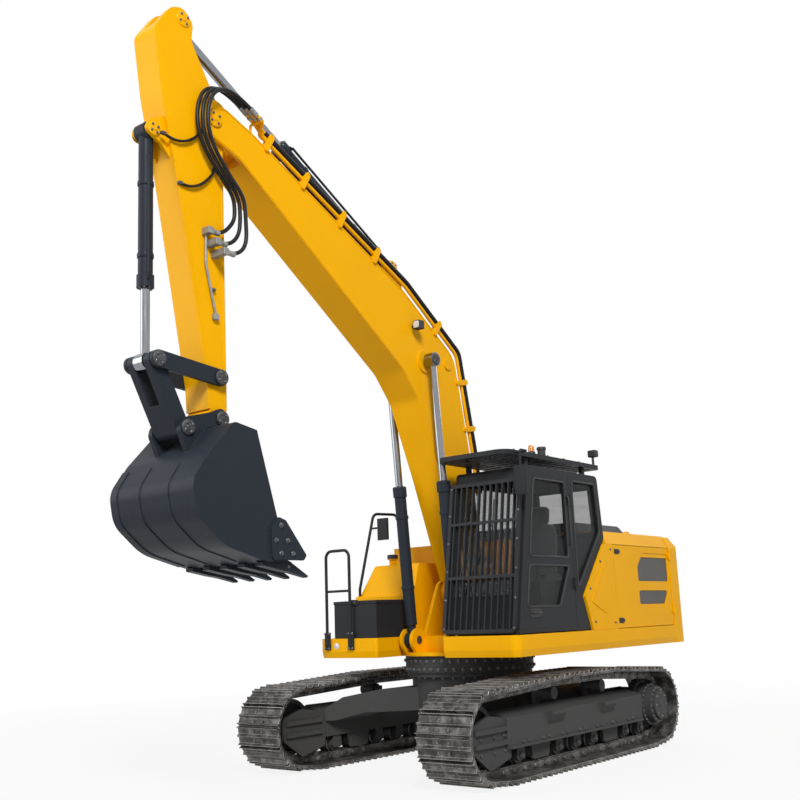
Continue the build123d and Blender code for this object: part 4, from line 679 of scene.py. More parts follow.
class EXC_OT_stage(bpy.types.Operator):
    """Camera at the picture's angle, white surround, pale floor and soft lamps"""

    bl_idname = "excavator.stage"
    bl_label = "Stage"

    def execute(self, context):
        look = context.scene.excavator_look
        scene = context.scene
        scene.view_settings.view_transform = "Standard"
        self.camera(scene)
        self.surround(scene, look.sky)
        self.floor()
        for name, spot, power, size in (
            ("key", (20.0, 20.0, 22.0), look.key_power, 9.0),
            ("fill", (13.0, -9.0, 7.0), look.key_power * 0.07, 9.0),
            ("back", (-13.0, -2.0, 11.0), look.key_power * 0.1, 9.0),
        ):
            lamp = bpy.data.lights.new(name, "AREA")
            lamp.energy = power
            lamp.size = size
            holder = bpy.data.objects.new(name, lamp)
            aim = unit(np.array(LAMP_AIM) - spot)
            side = unit(np.cross(aim, UP))
            holder.matrix_world = self.place(side, np.cross(side, aim), -aim, spot)
            scene.collection.objects.link(holder)
        return {"FINISHED"}

    def place(self, right, up, back, spot):
        """Matrix from the three directions of an object's own axes and its spot."""
        place = np.eye(4)
        place[:3] = np.stack((right, up, back, spot), axis=1)
        return Matrix(place.tolist())

    def camera(self, scene):
        """Pinhole camera with the picture's place, turn and angle of view."""
        lens = bpy.data.cameras.new("camera")
        lens.sensor_width = 36.0
        lens.lens = 45.63
        lens.clip_end = 400.0
        camera = bpy.data.objects.new("camera", lens)
        right = np.array((-0.63089, 0.77507, -0.03456))
        up = np.array((0.14137, 0.15864, 0.97712))
        ahead = np.array((-0.76286, -0.61160, 0.20966))
        camera.matrix_world = self.place(right, up, -ahead, (9.661, 6.873, 1.538))
        scene.collection.objects.link(camera)
        scene.camera = camera

    def surround(self, scene, sky):
        """White to the eye and in reflections, an even pale sky as light."""
        world = bpy.data.worlds.new("surround")
        w = Tree(world)
        w.tree.nodes.clear()
        white = w.node("ShaderNodeBackground", None, {"Color": WHITE, "Strength": 1.0})
        even = w.node("ShaderNodeBackground", None, {"Color": (0.93, 0.96, 1.0, 1.0), "Strength": sky})
        pick = w.node("ShaderNodeMixShader", None, {0: w.seen(), 1: even, 2: white})
        w.node("ShaderNodeOutputWorld", None, {"Surface": pick})
        scene.world = world

    def floor(self):
        """Disc whose rings widen outwards with the square of their number, fading into the surround."""
        rings, spokes = 24, 96
        radius = FLOOR_RADIUS * np.linspace(0.0, 1.0, rings) ** 2
        disc = turned(points_of(radius, FLOOR_Z), spokes)
        self.floor_finish()
        add_piece("floor", [disc], "floor_pale", None)

    def floor_finish(self):
        """Pale floor that keeps the shadow and fades to the surround with distance."""
        f = Finish("floor_pale", Roughness=0.9)
        f.feed(Base_Color=f.mix(f.noise(0.6, 3.0), (0.58, 0.58, 0.58), (0.62, 0.62, 0.62)))
        far = f.node("ShaderNodeVectorMath", {"operation": "LENGTH"}, {0: f.place()}, "Value").above(5.0, 9.0)
        glow = f.node("ShaderNodeEmission", None, {"Color": WHITE, "Strength": 1.0})
        share = f.seen() * (0.87 + far * 0.13)
        mixed = f.node("ShaderNodeMixShader", None, {0: share, 1: Wire(f, f.shader.outputs[0]), 2: glow})
        f.put(f.tree.nodes["Material Output"].inputs["Surface"], mixed)


def side_view(points, y):
    """Side-view points placed at a distance from the centre plane."""
    points = np.asarray(points, float)
    return np.insert(points, 1, y, axis=1)


def on_line(start, end, distance, y):
    """Point in a cylinder's side-view line at a distance from its foot."""
    start, end = np.asarray(start, float), np.asarray(end, float)
    point = start + (end - start) * distance / np.linalg.norm(end - start)
    return np.array((point[0], y, point[1]))


def cab_front(z, ahead):
    """Point's x on the leaning cab front, moved ahead of it."""
    return CAB_FOOT_X - CAB_LEAN * (z - CAB_FOOT_Z) / CAB_TALL + ahead


class EXC_OT_hoses(bpy.types.Operator):
    """Three arm hoses looping from the boom's pipes over the joint to the arm's ports"""

    bl_idname = "excavator.hoses"
    bl_label = "Hoses"

    def execute(self, context):
        loop = np.array(HOSE_LOOP)
        starts = []
        for i, (end_x, end_z) in enumerate(HOSE_ENDS):
            y = HOSE_Y + HOSE_GAP * i
            tail = np.array(((end_x - 0.270, end_z + 0.130), (end_x - 0.140, end_z), (end_x - 0.0305, end_z)))
            route = np.concatenate((loop - (0.026 * i, 0.013 * i), tail))
            piece = hose(f"bent_hose_{i + 1}", side_view(route, y))
            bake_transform(piece)
            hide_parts(f"arm_hose_{i + 1}")
            self.ends(f"hose_{i + 1}", route, y)
            starts.append(side_view(route[:2], y))
        self.feeds(starts)
        return {"FINISHED"}

    def feeds(self, starts):
        """Bent pipes from the boom's pipe ends into the hoses, collars on them and a bent bar under them."""
        run = unit(np.array(BOOM_OUTLINE[4]) - BOOM_OUTLINE[3])
        run = np.array((run[0], 0.0, run[1]))
        tubes, collars = [], []
        for end, (spot, ahead) in zip(FEED_ENDS, starts):
            way = unit(ahead - spot)
            path = smooth_path((end - run * 0.03, end + run * 0.04, spot - way * 0.08, spot + way * 0.01), 10)
            tubes.append(carried(path, circle(0.018, 14)))
            collars.append(placed("collar", spot - way * 0.05, way))
        bar = smooth_path(((3.47, 0.175, 6.12), (3.47, 0.175, 6.20), (3.468, 0.190, 6.235), (3.46, 0.26, 6.237),
                           (3.45, 0.335, 6.235)), 8)
        tubes.append(carried(bar, circle(0.013, 12)))
        add_piece("hose_feeds", tubes, "machine_yellow", "boom")
        add_piece("hose_collars", collars, "zinc_plate", "boom")

    def ends(self, name, route, y):
        """Crimped steel ferrules where a hose leaves its pipe and enters its port."""
        for label, body, pair in (("start", "boom", route[:2]), ("end", "arm", route[:-3:-1])):
            spot, ahead = side_view(pair, y)
            way = unit(ahead - spot)
            add_piece(f"{name}_{label}", [placed("crimp", spot - way * 0.01, way)], "zinc_plate", body)


class EXC_OT_boom_dressing(bpy.types.Operator):
    """Weld seams, sleeved hoses on the upper pipes and clamp bolts along the boom"""

    bl_idname = "excavator.boom_dressing"
    bl_label = "Boom dressing"

    def execute(self, context):
        look = context.scene.excavator_look
        bead = circle(look.bead, 8)
        edge = self.filleted(BOOM_OUTLINE, BOOM_ROUNDS)
        inward = self.inset(edge, 0.016)
        swell = ripple(len(inward), 0.12, 2.1)
        seams = [carried(side_view(inward, side * BOOM_FACE), bead, True, swell) for side in SIDES]
        add_piece("boom_seams", seams, "machine_yellow", "boom")
        rings = []
        for x, z, radius in ((0.880, 4.330, 0.13), (0.450, 4.368, 0.062)):
            for side in SIDES:
                ring = ring_of((x, side * BOOM_FACE, z), ACROSS, radius, 64)
                rings.append(carried(ring, bead, True, ripple(64, 0.12, 1.9)))
        add_piece("boom_weld_rings", rings, "machine_yellow", "boom")
        self.sleeves(look.sleeve)
        stand, pair = 0.1695, (0.172, 0.208)
        heads = [(x + lean_x * stand, y, z + lean_z * stand) for x, z, lean_x, lean_z in self.clamps() for y in pair]
        leans = [(lean_x, 0.0, lean_z) for _, _, lean_x, lean_z in self.clamps() for y in pair]
        bolts("clamp_bolts", mirrored(heads), leans * 2, 0.022, "pin_steel", "boom")
        return {"FINISHED"}

    def filleted(self, points, rounds):
        """Outline with its fillets, each tangent length the radius times the tangent of half the turn."""
        points = np.array(points)
        back = unit(np.roll(points, 1, axis=0) - points)
        ahead = unit(np.roll(points, -1, axis=0) - points)
        loop = rounded_loop(points, np.array(rounds) * np.tan(half_turn(back, ahead)) + 1e-4, 10)
        closed = np.concatenate((loop, loop[:1]))
        return at_lengths(closed, np.linspace(0.0, lengths(closed)[-1], 520, endpoint=False))

    def inset(self, loop, distance):
        """Loop moved to the inside of its own line."""
        ahead = unit(np.roll(loop, -1, axis=0) - np.roll(loop, 1, axis=0))
        return loop + distance * aside(ahead)

    def beside(self, points, distance):
        """Open row of points moved to its upper side with mitred corners."""
        runs = unit(np.diff(points, axis=0))
        normals = -aside(runs)
        before = np.concatenate((normals[:1], normals))
        after = np.concatenate((normals, normals[-1:]))
        return points + (before + after) * (distance / (1 + (before * after).sum(axis=1)))[:, None]

    def pipe_line(self):
        """The row of points that the boom's pipes follow, before standing off."""
        top = np.array(BOOM_OUTLINE[:5])
        low = top[1] + unit(top[0] - top[1]) * 0.5
        high = top[3] + unit(top[4] - top[3]) * 2.38
        return np.stack((low, top[1], top[2], top[3], high))

    def clamps(self):
        """Foot and lean of each pipe clamp."""
        top = np.array(BOOM_OUTLINE[:5])
        for start, places in ((1, (0.25, 0.8)), (2, (0.42,)), (3, (0.55, 1.15, 1.75, 2.3))):
            run = unit(top[start + 1] - top[start])
            for place in places:
                yield (*(top[start] + run * place), -run[1], run[0])

    def sleeves(self, radius):
        """Rubber hoses over the upper pipes, with a hose run beside them on the left."""
        line = self.beside(self.pipe_line(), 0.135)
        route = self.open_round(line, 0.15)
        tubes = [carried(side_view(route, side * 0.19), circle(radius, 14)) for side in SIDES]
        add_piece("boom_sleeves", tubes, "hose_rubber", "boom")
        inner = side_view(route - (0.0, 0.02), 0.148 + 0.012 * np.sin(np.linspace(0.0, 26.0, len(route))))
        add_piece("boom_lines", [carried(inner, circle(0.014, 10))], "hose_rubber", "boom")

    def open_round(self, points, radius):
        """Open row of points with its inner corners rounded and the runs filled with points."""
        back, ahead = unit(points[:-2] - points[1:-1]), unit(points[2:] - points[1:-1])
        reach = (radius * np.tan(half_turn(back, ahead)))[:, None]
        corner = points[1:-1]
        bends = corner_curves(corner + back * reach, corner, corner + ahead * reach, 9)
        route = np.concatenate((points[:1], bends, points[-1:]))
        return at_lengths(route, np.linspace(0.0, lengths(route)[-1], 160))


class EXC_OT_pin_caps(bpy.types.Operator):
    """Bolted retainer discs on the ends of the working pins"""

    bl_idname = "excavator.pin_caps"
    bl_label = "Pin caps"

    def execute(self, context):
        for body, finish in sorted({(row[0], self.finish(row)) for row in PIN_ENDS}):
            parts, spots = [], []
            for _, x, z, y, radius in [row for row in PIN_ENDS if (row[0], self.finish(row)) == (body, finish)]:
                disc = turned(((0.0, 0.016), (radius * 0.3, 0.016), (radius * 0.34, 0.011), (radius * 0.86, 0.011),
                               (radius * 0.93, 0.009), (radius, 0.003), (radius, -0.004)), 40)
                for side in SIDES:
                    axis = (0, side, 0)
                    parts.append(repeat(disc, frame_at((x, side * y, z), axis)))
                    spots.append(ring_of((x, side * (y + 0.011), z), axis, radius * 0.64, 4, 0.6))
            name, spots = f"{body}_{finish}", np.concatenate(spots)
            add_piece(f"pin_caps_{name}", parts, finish, body)
            bolts(f"pin_bolts_{name}", spots, outwards(spots), 0.02, "pin_steel", body)
        return {"FINISHED"}

    def finish(self, row):
        """Caps high on the boom and arm are painted over, the others are bare castings."""
        return "machine_yellow" if row[0] in ("boom", "arm") and row[2] > 4.5 else "cast_grey"


class EXC_OT_cylinders(bpy.types.Operator):
    """Gland bolts, wiper rings, clamp bands and feed pipes of the four cylinders"""

    bl_idname = "excavator.cylinders"
    bl_label = "Cylinders"

    def execute(self, context):
        for body, foot, eye, y, radius, bore, length, turn in CYLINDERS:
            axis = unit(np.array((eye[0] - foot[0], 0.0, eye[1] - foot[1])))
            inner, outer = radius - 0.002, radius + 0.007
            wiper = turned(((bore + 0.0006, -0.01), (bore + 0.011, 0.0), (bore + 0.01, 0.012),
                            (bore + 0.002, 0.014), (bore + 0.0006, 0.004)), 40)
            strap = turned(((inner, -0.02), (outer, -0.02), (outer + 0.002, 0.0), (outer, 0.02), (inner, 0.02)), 40)
            spots, seals, bands, pipes = [], [], [], []
            for side in SIDES if y else SIDES[:1]:
                face = on_line(foot, eye, length, side * y)
                spots.append(ring_of(face, axis, (radius * 1.18 + bore) / 2, 8))
                seals.append(repeat(wiper, frame_at(face, axis)))
                for share in (0.34, 0.8):
                    bands.append(repeat(strap, frame_at(on_line(foot, eye, length * share, side * y), axis)))
                away = np.cross(axis, ACROSS) * math.cos(turn) + np.array((0.0, side, 0.0)) * math.sin(turn)
                pipes.append(self.feed(foot, eye, length, side * y, radius, away))
            bolts(f"gland_bolts_{body}", np.concatenate(spots), axis, 0.019, "pin_steel", body)
            add_piece(f"gland_seals_{body}", seals, "moulded_black", body)
            add_piece(f"bands_{body}", bands, "bucket_paint", body)
            add_piece(f"feed_pipes_{body}", pipes, "bucket_paint", body)
        return {"FINISHED"}

    def feed(self, foot, eye, length, y, radius, away):
        """Feed pipe from a port near the foot along the barrel to the gland."""
        stand = radius + 0.032
        wall = (radius - 0.006) / stand
        stations = ((0.24, wall), (0.24, 0.84), (0.28, 1.0), (0.36, 1.0), (length - 0.22, 1.0), (length - 0.12, 1.0),
                    (length - 0.07, 0.84), (length - 0.07, wall))
        path = [on_line(foot, eye, distance, y) + away * stand * share for distance, share in stations]
        return carried(smooth_path(path, 8), circle(0.013, 12))


class EXC_OT_chain(bpy.types.Operator):
    """Link plates, pin heads and shoe bolts of both tracks"""

    bl_idname = "excavator.chain"
    bl_label = "Track chain"

    def execute(self, context):
        places, out = self.stations(0.046, 0.0)
        pins, pin_out = self.stations(0.046, 0.5)
        shoes, shoe_out = self.stations(0.107, 0.0)
        for name, y in (("left", TRACK_Y), ("right", -TRACK_Y)):
            links, heads = [], []
            for side in SIDES:
                links.append(repeat(self.link(), self.frames(places, out, y + side * 0.0955, side)))
                heads.append(repeat(lathe("track_pin"), self.frames(pins, pin_out, y + side * 0.104, side)))
            add_piece(f"links_{name}", links, "track_steel", "undercarriage")
            add_piece(f"link_pins_{name}", heads, "track_steel", "undercarriage")
            spots = [side_view(shoes + aside(shoe_out) * step, y + across)
                     for step in (-0.047, 0.047) for across in (-0.062, 0.062)]
            heads = placed("shoe_bolt", np.concatenate(spots), np.tile(side_view(shoe_out, 0.0), (4, 1)))
            add_piece(f"shoe_bolts_{name}", [heads], "track_steel", "undercarriage")
        return {"FINISHED"}

    def stations(self, depth, shift):
        """Evenly spaced points on the hull of the wheels' circles, each the farthest circle in its direction."""
        normal = circle(1.0, 7200)
        wheels = np.array(WHEELS)
        radius = wheels[:, 2] + depth
        pick = (normal @ wheels[:, :2].T + radius).argmax(axis=1)
        hull = wheels[pick, :2] + radius[pick, None] * normal
        loop = np.concatenate((hull, hull[:1]))
        total = lengths(loop)[-1]
        at = (np.arange(SHOES) + 0.70 + shift) / SHOES * total % total
        spots = at_lengths(loop, at)
        ahead = unit(at_lengths(loop, (at + 0.004) % total) - spots)
        return spots, aside(ahead)

    def frames(self, spots, out, y, side):
        """Places with X along the chain, Y outwards from the loop and Z across the track."""
        place = np.zeros((len(spots), 4, 4))
        place[:, 0, 0], place[:, 2, 0] = out[:, 1] * side, -out[:, 0] * side
        place[:, 0, 1], place[:, 2, 1] = out[:, 0], out[:, 1]
        place[:, 1, 2] = side
        place[:, 0, 3], place[:, 1, 3], place[:, 2, 3] = spots[:, 0], y, spots[:, 1]
        place[:, 3, 3] = 1.0
        return place

    def link(self):
        """Link plate: waisted outline from a cosine of the angle, domed across its thickness."""
        turn = angles(16)
        x = 0.094 * squared(np.cos(turn), 0.55)
        y = (0.036 + 0.006 * np.cos(2 * turn)) * squared(np.sin(turn), 0.6)
        steps = ((1.0, -0.002), (1.0, 0.008), (0.9, 0.011), (0.0, 0.011))
        rows = [points_of(x * share, y * share, z) for share, z in steps]
        return surface(np.stack(rows), wrap=True)


class EXC_OT_undercarriage(bpy.types.Operator):
    """Bolt circles of the slew ring, final drives and track frames"""

    bl_idname = "excavator.undercarriage"
    bl_label = "Undercarriage"

    def execute(self, context):
        lower = ring_of((0, 0, 0.8955), (0, 0, -1), 0.676, 36)
        radial = ring_of((0, 0, 0.975), UP, 0.7205, 48)
        spots = np.concatenate((lower, radial))
        axes = np.concatenate((np.tile((0.0, 0.0, -1.0), (36, 1)), unit(radial - (0.0, 0.0, 0.975))))
        bolts("slew_bolts_lower", spots, axes, 0.03, "pin_steel", "undercarriage")
        upper = ring_of((0, 0, 1.065), UP, 0.7205, 48, 0.065)
        bolts("slew_bolts_upper", upper, unit(upper - (0.0, 0.0, 1.065)), 0.03, "pin_steel", "upper")
        rows = ((0.2205, 1.340, 24), (0.1825, 1.425, 18), (0.13, 1.460, 8))
        hub = np.concatenate([ring_of((DRIVE_X, side * y, DRIVE_Z), (0, side, 0), radius, count)
                              for side in SIDES for radius, y, count in rows])
        bolts("drive_bolts", hub, outwards(hub), 0.021, "pin_steel", "undercarriage")
        plugs = mirrored([(DRIVE_X, 1.460, DRIVE_Z)])
        add_piece("drive_plugs", [placed("drive_plug", plugs, outwards(plugs))], "cast_grey", "undercarriage")
        self.frame_bolts()
        self.rollers()
        return {"FINISHED"}

    def frame_bolts(self):
        """Bolts along the lower edge of the track frames, two above each roller, and on the idler yokes."""
        spots = [(x + dx, 1.385, 0.352) for x in ROLLERS[1:-1] for dx in (-0.055, 0.055)]
        spots += [(x, 1.363, z) for x in (1.42, 1.60, 1.82) for z in (0.30, 0.435)]
        spots = mirrored(spots)
        bolts("frame_bolts", spots, outwards(spots), 0.028, "cast_grey", "undercarriage")

    def rollers(self):
        """End collars and shafts of the rollers, inside their bearing caps."""
        spots = mirrored([(x, TRACK_Y + 0.132, ROLLER_Z) for x in np.delete(ROLLERS, (2, 6))])
        add_piece("roller_shafts", [placed("roller_shaft", spots, outwards(spots))], "cast_grey", "undercarriage")
        spots = mirrored([(x, TRACK_Y + side * 0.058, ROLLER_Z) for x in ROLLERS for side in SIDES])
        add_piece("roller_flanges", [placed("roller_flange", spots, ACROSS)], "track_steel", "undercarriage")


class EXC_OT_cab_seals(bpy.types.Operator):
    """Rubber gaskets round every cab window"""

    bl_idname = "excavator.cab_seals"
    bl_label = "Cab seals"

    def execute(self, context):
        lip = circle(context.scene.excavator_look.gasket, 8) * (1.0, 0.8)
        door = [self.gasket(points, CAB_LEFT, lip) for points in (DOOR_UPPER, DOOR_LOWER)]
        add_piece("door_gaskets", door, "moulded_black", "cab_door")
        fixed = [self.gasket(QUARTER, CAB_LEFT, lip), self.gasket(RIGHT_WINDOW, CAB_RIGHT, lip)]
        y, z = rounded_loop(SCREEN, 0.03).T
        fixed.append(carried(points_of(cab_front(z, 0.001), y, z), lip, loop=True))
        add_piece("cab_gaskets", fixed, "moulded_black", "upper")
        return {"FINISHED"}

    def gasket(self, points, y, lip):
        """Round lip carried along a window's rounded outline."""
        return carried(side_view(rounded_loop(points, 0.045, 8), y), lip, loop=True)


class EXC_OT_cab_fittings(bpy.types.Operator):
    """Door handle and grab rail, wiper, mirrors' glass, lamps and roof furniture"""

    bl_idname = "excavator.cab_fittings"
    bl_label = "Cab fittings"

    def execute(self, context):
        self.door()
        self.wiper()
        self.mirror_faces()
        self.lamps()
        self.guard_bolts()
        return {"FINISHED"}

    def door(self):
        """Bowed handle on a round-cornered plate, and the upright grab bar beside the opening."""
        bow = smooth_path(((0.60, 1.329, 1.537), (0.612, 1.36, 1.537), (0.65, 1.372, 1.537), (0.70, 1.372, 1.537),
                           (0.738, 1.36, 1.537), (0.75, 1.329, 1.537)), 6)
        plate = pad((0.675, 1.330, 1.537), (0.105, 0.006, 0.045), 0.3, 10, 40)
        add_piece("door_handle", [carried(bow, circle(0.010, 12)), plate], "moulded_black", "cab_door")
        bar = smooth_path(((-0.086, 1.329, 2.25), (-0.086, 1.358, 2.27), (-0.086, 1.362, 2.40), (-0.086, 1.362, 2.62),
                           (-0.086, 1.358, 2.75), (-0.086, 1.329, 2.77)), 6)
        add_piece("door_grab", [carried(bar, circle(0.012, 12))], "moulded_black", "cab_door")

    def wiper(self):
        """Wiper arm tapering up the screen with a blade across its tip."""
        z = np.linspace(1.76, 2.45, 24)
        y = 0.62 + 0.30 * (z - 1.76) / 0.69
        path = points_of(cab_front(z, -0.006), y, z)
        arm = carried(path, circle(0.008, 8), swell=np.linspace(1.3, 0.7, 24))
        z = np.linspace(2.05, 2.72, 30)
        blade = points_of(cab_front(z, -0.011), 0.93, z)
        boss = placed("wiper_boss", (cab_front(1.76, -0.01), 0.62, 1.76), (0.98, 0.0, 0.19))
        add_piece("wiper", [arm, carried(blade, circle(0.007, 8)), boss], "moulded_black", "upper")

    def mirror_faces(self):
        """Slightly domed glasses on the backs of both mirror housings."""
        faces = []
        for x, y, z, wide, tall in ((0.902, 1.405, 2.865, 0.062, 0.138), (0.218, -1.0175, 2.588, 0.066, 0.118)):
            faces.append(pad((x, y, z), (0.004, wide, tall), 0.25, 14, 32))
        add_piece("mirror_faces", faces, "mirror_glass", "upper")

    def lamps(self):
        """Amber beacon, intake stack cap, rear lamp and boom lamp lenses standing in for the plain solids."""
        beacon = (0.380, 1.215, ROOF_Z)
        dome = add_piece("beacon_dome", [placed("beacon", beacon, UP)], "amber_lens", "upper")
        post = np.linspace((-0.960, 1.230, ROOF_Z), (-0.960, 1.230, 3.31), 6)
        base = [placed("beacon_foot", beacon, UP), placed("intake", (0.180, 1.220, ROOF_Z), UP)]
        base += [carried(post, circle(0.015, 12)), pad((-0.970, 1.230, 3.343), (0.04, 0.055, 0.0425), 0.3)]
        dark = add_piece("roof_furniture", base, "moulded_black", "upper")
        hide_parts("cab_lamps")
        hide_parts("cab_lamps")
        rear = pad((-1.008, 1.230, 3.343), (0.006, 0.046, 0.034), 0.35, 12, 32)
        add_piece("rear_lamp_lens", [rear], "clear_lens", "upper")
        boom = pad((1.119, 0.290, 4.700), (0.006, 0.038, 0.038), 0.35, 12, 32)
        add_piece("boom_lamp_lens", [boom], "clear_lens", "boom")
        add_piece("deck_lamp_lens", [placed("deck_lens", (1.0835, -1.03, 1.25), AHEAD)], "clear_lens", "upper")

    def guard_bolts(self):
        """Bolts round the front guard's frame and on the roof guard."""
        z = np.linspace(1.40, 2.87, 6)
        ahead = 0.040 + 0.040 * (z - 1.35) / 1.57
        spots = np.concatenate([points_of(cab_front(z, ahead), y, z) for y in (0.428, 1.288)])
        bolts("guard_bolts", spots, (0.985, 0.0, 0.17), 0.02, "pin_steel", "upper")
        x = np.linspace(-0.90, 0.80, 6)
        roof = np.concatenate([points_of(x, y, 3.2) for y in (0.385, 1.26)])
        bolts("roof_bolts", roof, UP, 0.022, "pin_steel", "upper")


class EXC_OT_cab_inside(bpy.types.Operator):
    """Padded seat, bellows, arm rests, lever boots and grips, and the monitor"""

    bl_idname = "excavator.cab_inside"
    bl_label = "Cab inside"

    def execute(self, context):
        self.seat()
        self.controls()
        return {"FINISHED"}

    def seat(self):
        """Cushion, back and head rest: superellipsoids dished where the sitter rests and leaned back."""
        cushion = pillow((0.11, SEAT_Y, 1.713), (0.29, 0.23, 0.0725), 0.35, 40, 72)
        dish = np.exp(-(((cushion[..., 0] - 0.10) / 0.2) ** 2 + ((cushion[..., 1] - SEAT_Y) / 0.15) ** 2))
        cushion[..., 2] -= np.where(cushion[..., 2] > 1.713, 0.022 * dish, 0.0)
        back = pillow((-0.13, SEAT_Y, 2.14), (0.06, 0.22, 0.365), 0.4, 48, 72)
        dish = np.exp(-(((back[..., 1] - SEAT_Y) / 0.14) ** 2 + ((back[..., 2] - 2.14) / 0.26) ** 2))
        back[..., 0] -= np.where(back[..., 0] > -0.13, 0.02 * dish, 0.0)
        head = pillow((-0.125, SEAT_Y, 2.60), (0.05, 0.12, 0.105), 0.45, 32, 48)
        for shape in (back, head):
            shape[..., 0] -= (shape[..., 2] - 1.7755) * 0.15
        for name, shape in (("seat_cushion", cushion), ("seat_back", back), ("seat_head", head)):
            piece = add_piece(name, [surface(shape, wrap=True)], "seat_cloth", "upper", 80.0)
            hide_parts("cab_seat")
        turn, floor_z = angles(64)[None, :], 1.3805
        height = np.linspace(floor_z, 1.65, 60)[:, None]
        pleat = 1.0 - 0.035 * (1 + np.cos((height - floor_z) * 140.0))
        x = 0.10 + 0.25 * pleat * squared(np.cos(turn), 0.4)
        y = SEAT_Y + 0.19 * pleat * squared(np.sin(turn), 0.4)
        bellows = surface(points_of(x, y, height), wrap=True)
        piece = add_piece("seat_bellows", [bellows], "moulded_black", "upper")
        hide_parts("cab_seat")

    def controls(self):
        """Lever boots, shaped grips and the monitor on its stalk."""
        boots = placed("boot", [(0.36, y, 1.8605) for y in LEVER_Y], UP)
        grips = placed("grip", [(0.36, y, 1.985) for y in LEVER_Y], (0.12, 0, 1))
        add_piece("levers", [boots, grips], "moulded_black", "upper")
        pads = [pad((0.12, y, 1.90), (0.20, 0.05, 0.035), 0.4, 24, 48) for y in LEVER_Y]
        add_piece("arm_rests", pads, "seat_cloth", "upper", 80.0)
        case = pad((0.60, 0.56, 2.12), (0.03, 0.085, 0.065), 0.25, 20, 40)
        stalk = carried(smooth_path(((0.62, 0.50, 1.86), (0.63, 0.50, 1.98), (0.63, 0.54, 2.08)), 8), circle(0.012, 10))
        add_piece("monitor", [case, stalk], "moulded_black", "upper")


class EXC_OT_house(bpy.types.Operator):
    """Latches, panel bolts, hood handle, anti-slip studs and filler details of the upper structure"""

    bl_idname = "excavator.house"
    bl_label = "House"

    def execute(self, context):
        self.latches()
        self.studs()
        rail = [(1.112, y + dy, z) for y in (-1.150, -0.800) for dy in (-0.028, 0.028) for z in (1.225, 1.385)]
        bolts("rail_bolts", rail, AHEAD, 0.02, "pin_steel", "upper")
        panel = side_view(((-0.45, 1.78), (-0.72, 2.08), (-0.52, 1.42), (-0.98, 2.22), (-0.98, 1.40)), 1.352)
        bolts("panel_bolts", panel, ACROSS, 0.02, "pin_steel", "upper")
        self.filler()
        return {"FINISHED"}

    def latches(self):
        """Paddle latches: a round-cornered dish with a lifted flap."""
        flap = pillow((0.008, 0, 0.009), (0.036, 0.019, 0.006), 0.35, 10, 30)
        flap[..., 2] += (flap[..., 0] + 0.03) * 0.16
        shape = [pad((0, 0, 0), (0.055, 0.03, 0.008), 0.3, 12, 36), surface(flap, wrap=True)]
        rows = (
            ("service_door", [(-1.13, 1.350, 2.20), (-1.13, 1.350, 1.42)], ACROSS),
            ("pump_door", [(-2.44, -1.350, 1.86)], (0, -1, 0)),
            ("tool_lid", [(1.0765, -0.76, 1.7185)], AHEAD),
        )
        for body, spots, axis in rows:
            parts = [repeat(part, frame_at(spots, axis)) for part in shape]
            add_piece(f"latch_{body}", parts, "moulded_black", body)
        grab = smooth_path(((-2.20, -0.12, 2.575), (-2.20, -0.11, 2.61), (-2.20, -0.05, 2.625), (-2.20, 0.15, 2.625),
                            (-2.20, 0.21, 2.61), (-2.20, 0.22, 2.575)), 6)
        add_piece("hood_handle", [carried(grab, circle(0.011, 12))], "moulded_black", "hood")

    def studs(self):
        """Pressed anti-slip studs on the tool box lid, house roof and track frame steps."""
        for name, body, x, y, z, finish in (
            ("lid_studs", "tool_lid", np.arange(0.58, 1.04, 0.06), np.arange(-1.02, -0.48, 0.06), 1.735, "cab_paint"),
            ("roof_studs", "upper", np.arange(-2.46, -0.97, 0.07), np.arange(0.98, 1.24, 0.07), 2.43, "machine_yellow"),
        ):
            spots = points_of(*np.meshgrid(x, y), z).reshape(-1, 3)
            add_piece(name, [placed("stud", spots, UP)], finish, body)
        step = points_of(*np.meshgrid(np.arange(-0.11, 0.12, 0.044), (1.402, 1.432)), 0.585).reshape(-1, 3)
        spots = np.concatenate([step + (x, 0.0, 0.0) for x in (-0.54, 0.54)])
        add_piece("step_studs", [placed("stud", mirrored(spots), UP)], "chassis_paint", "undercarriage")

    def filler(self):
        """Knurled grip ring of the fuel cap: radius rippled by a cosine of the angle."""
        turn = angles(96)[None, :]
        radius = np.array((0.0, 0.05, 0.0635, 0.0635, 0.058))[:, None]
        height = np.array((0.016, 0.016, 0.010, -0.036, -0.04))[:, None]
        knurl = radius * (1.0 + 0.012 * np.cos(24 * turn) * (radius > 0.06))
        points = points_of(knurl * np.cos(turn), knurl * np.sin(turn), height)
        add_piece("fuel_cap", [surface(points + (0.2, -0.91, 2.26), wrap=True)], "moulded_black", "upper")


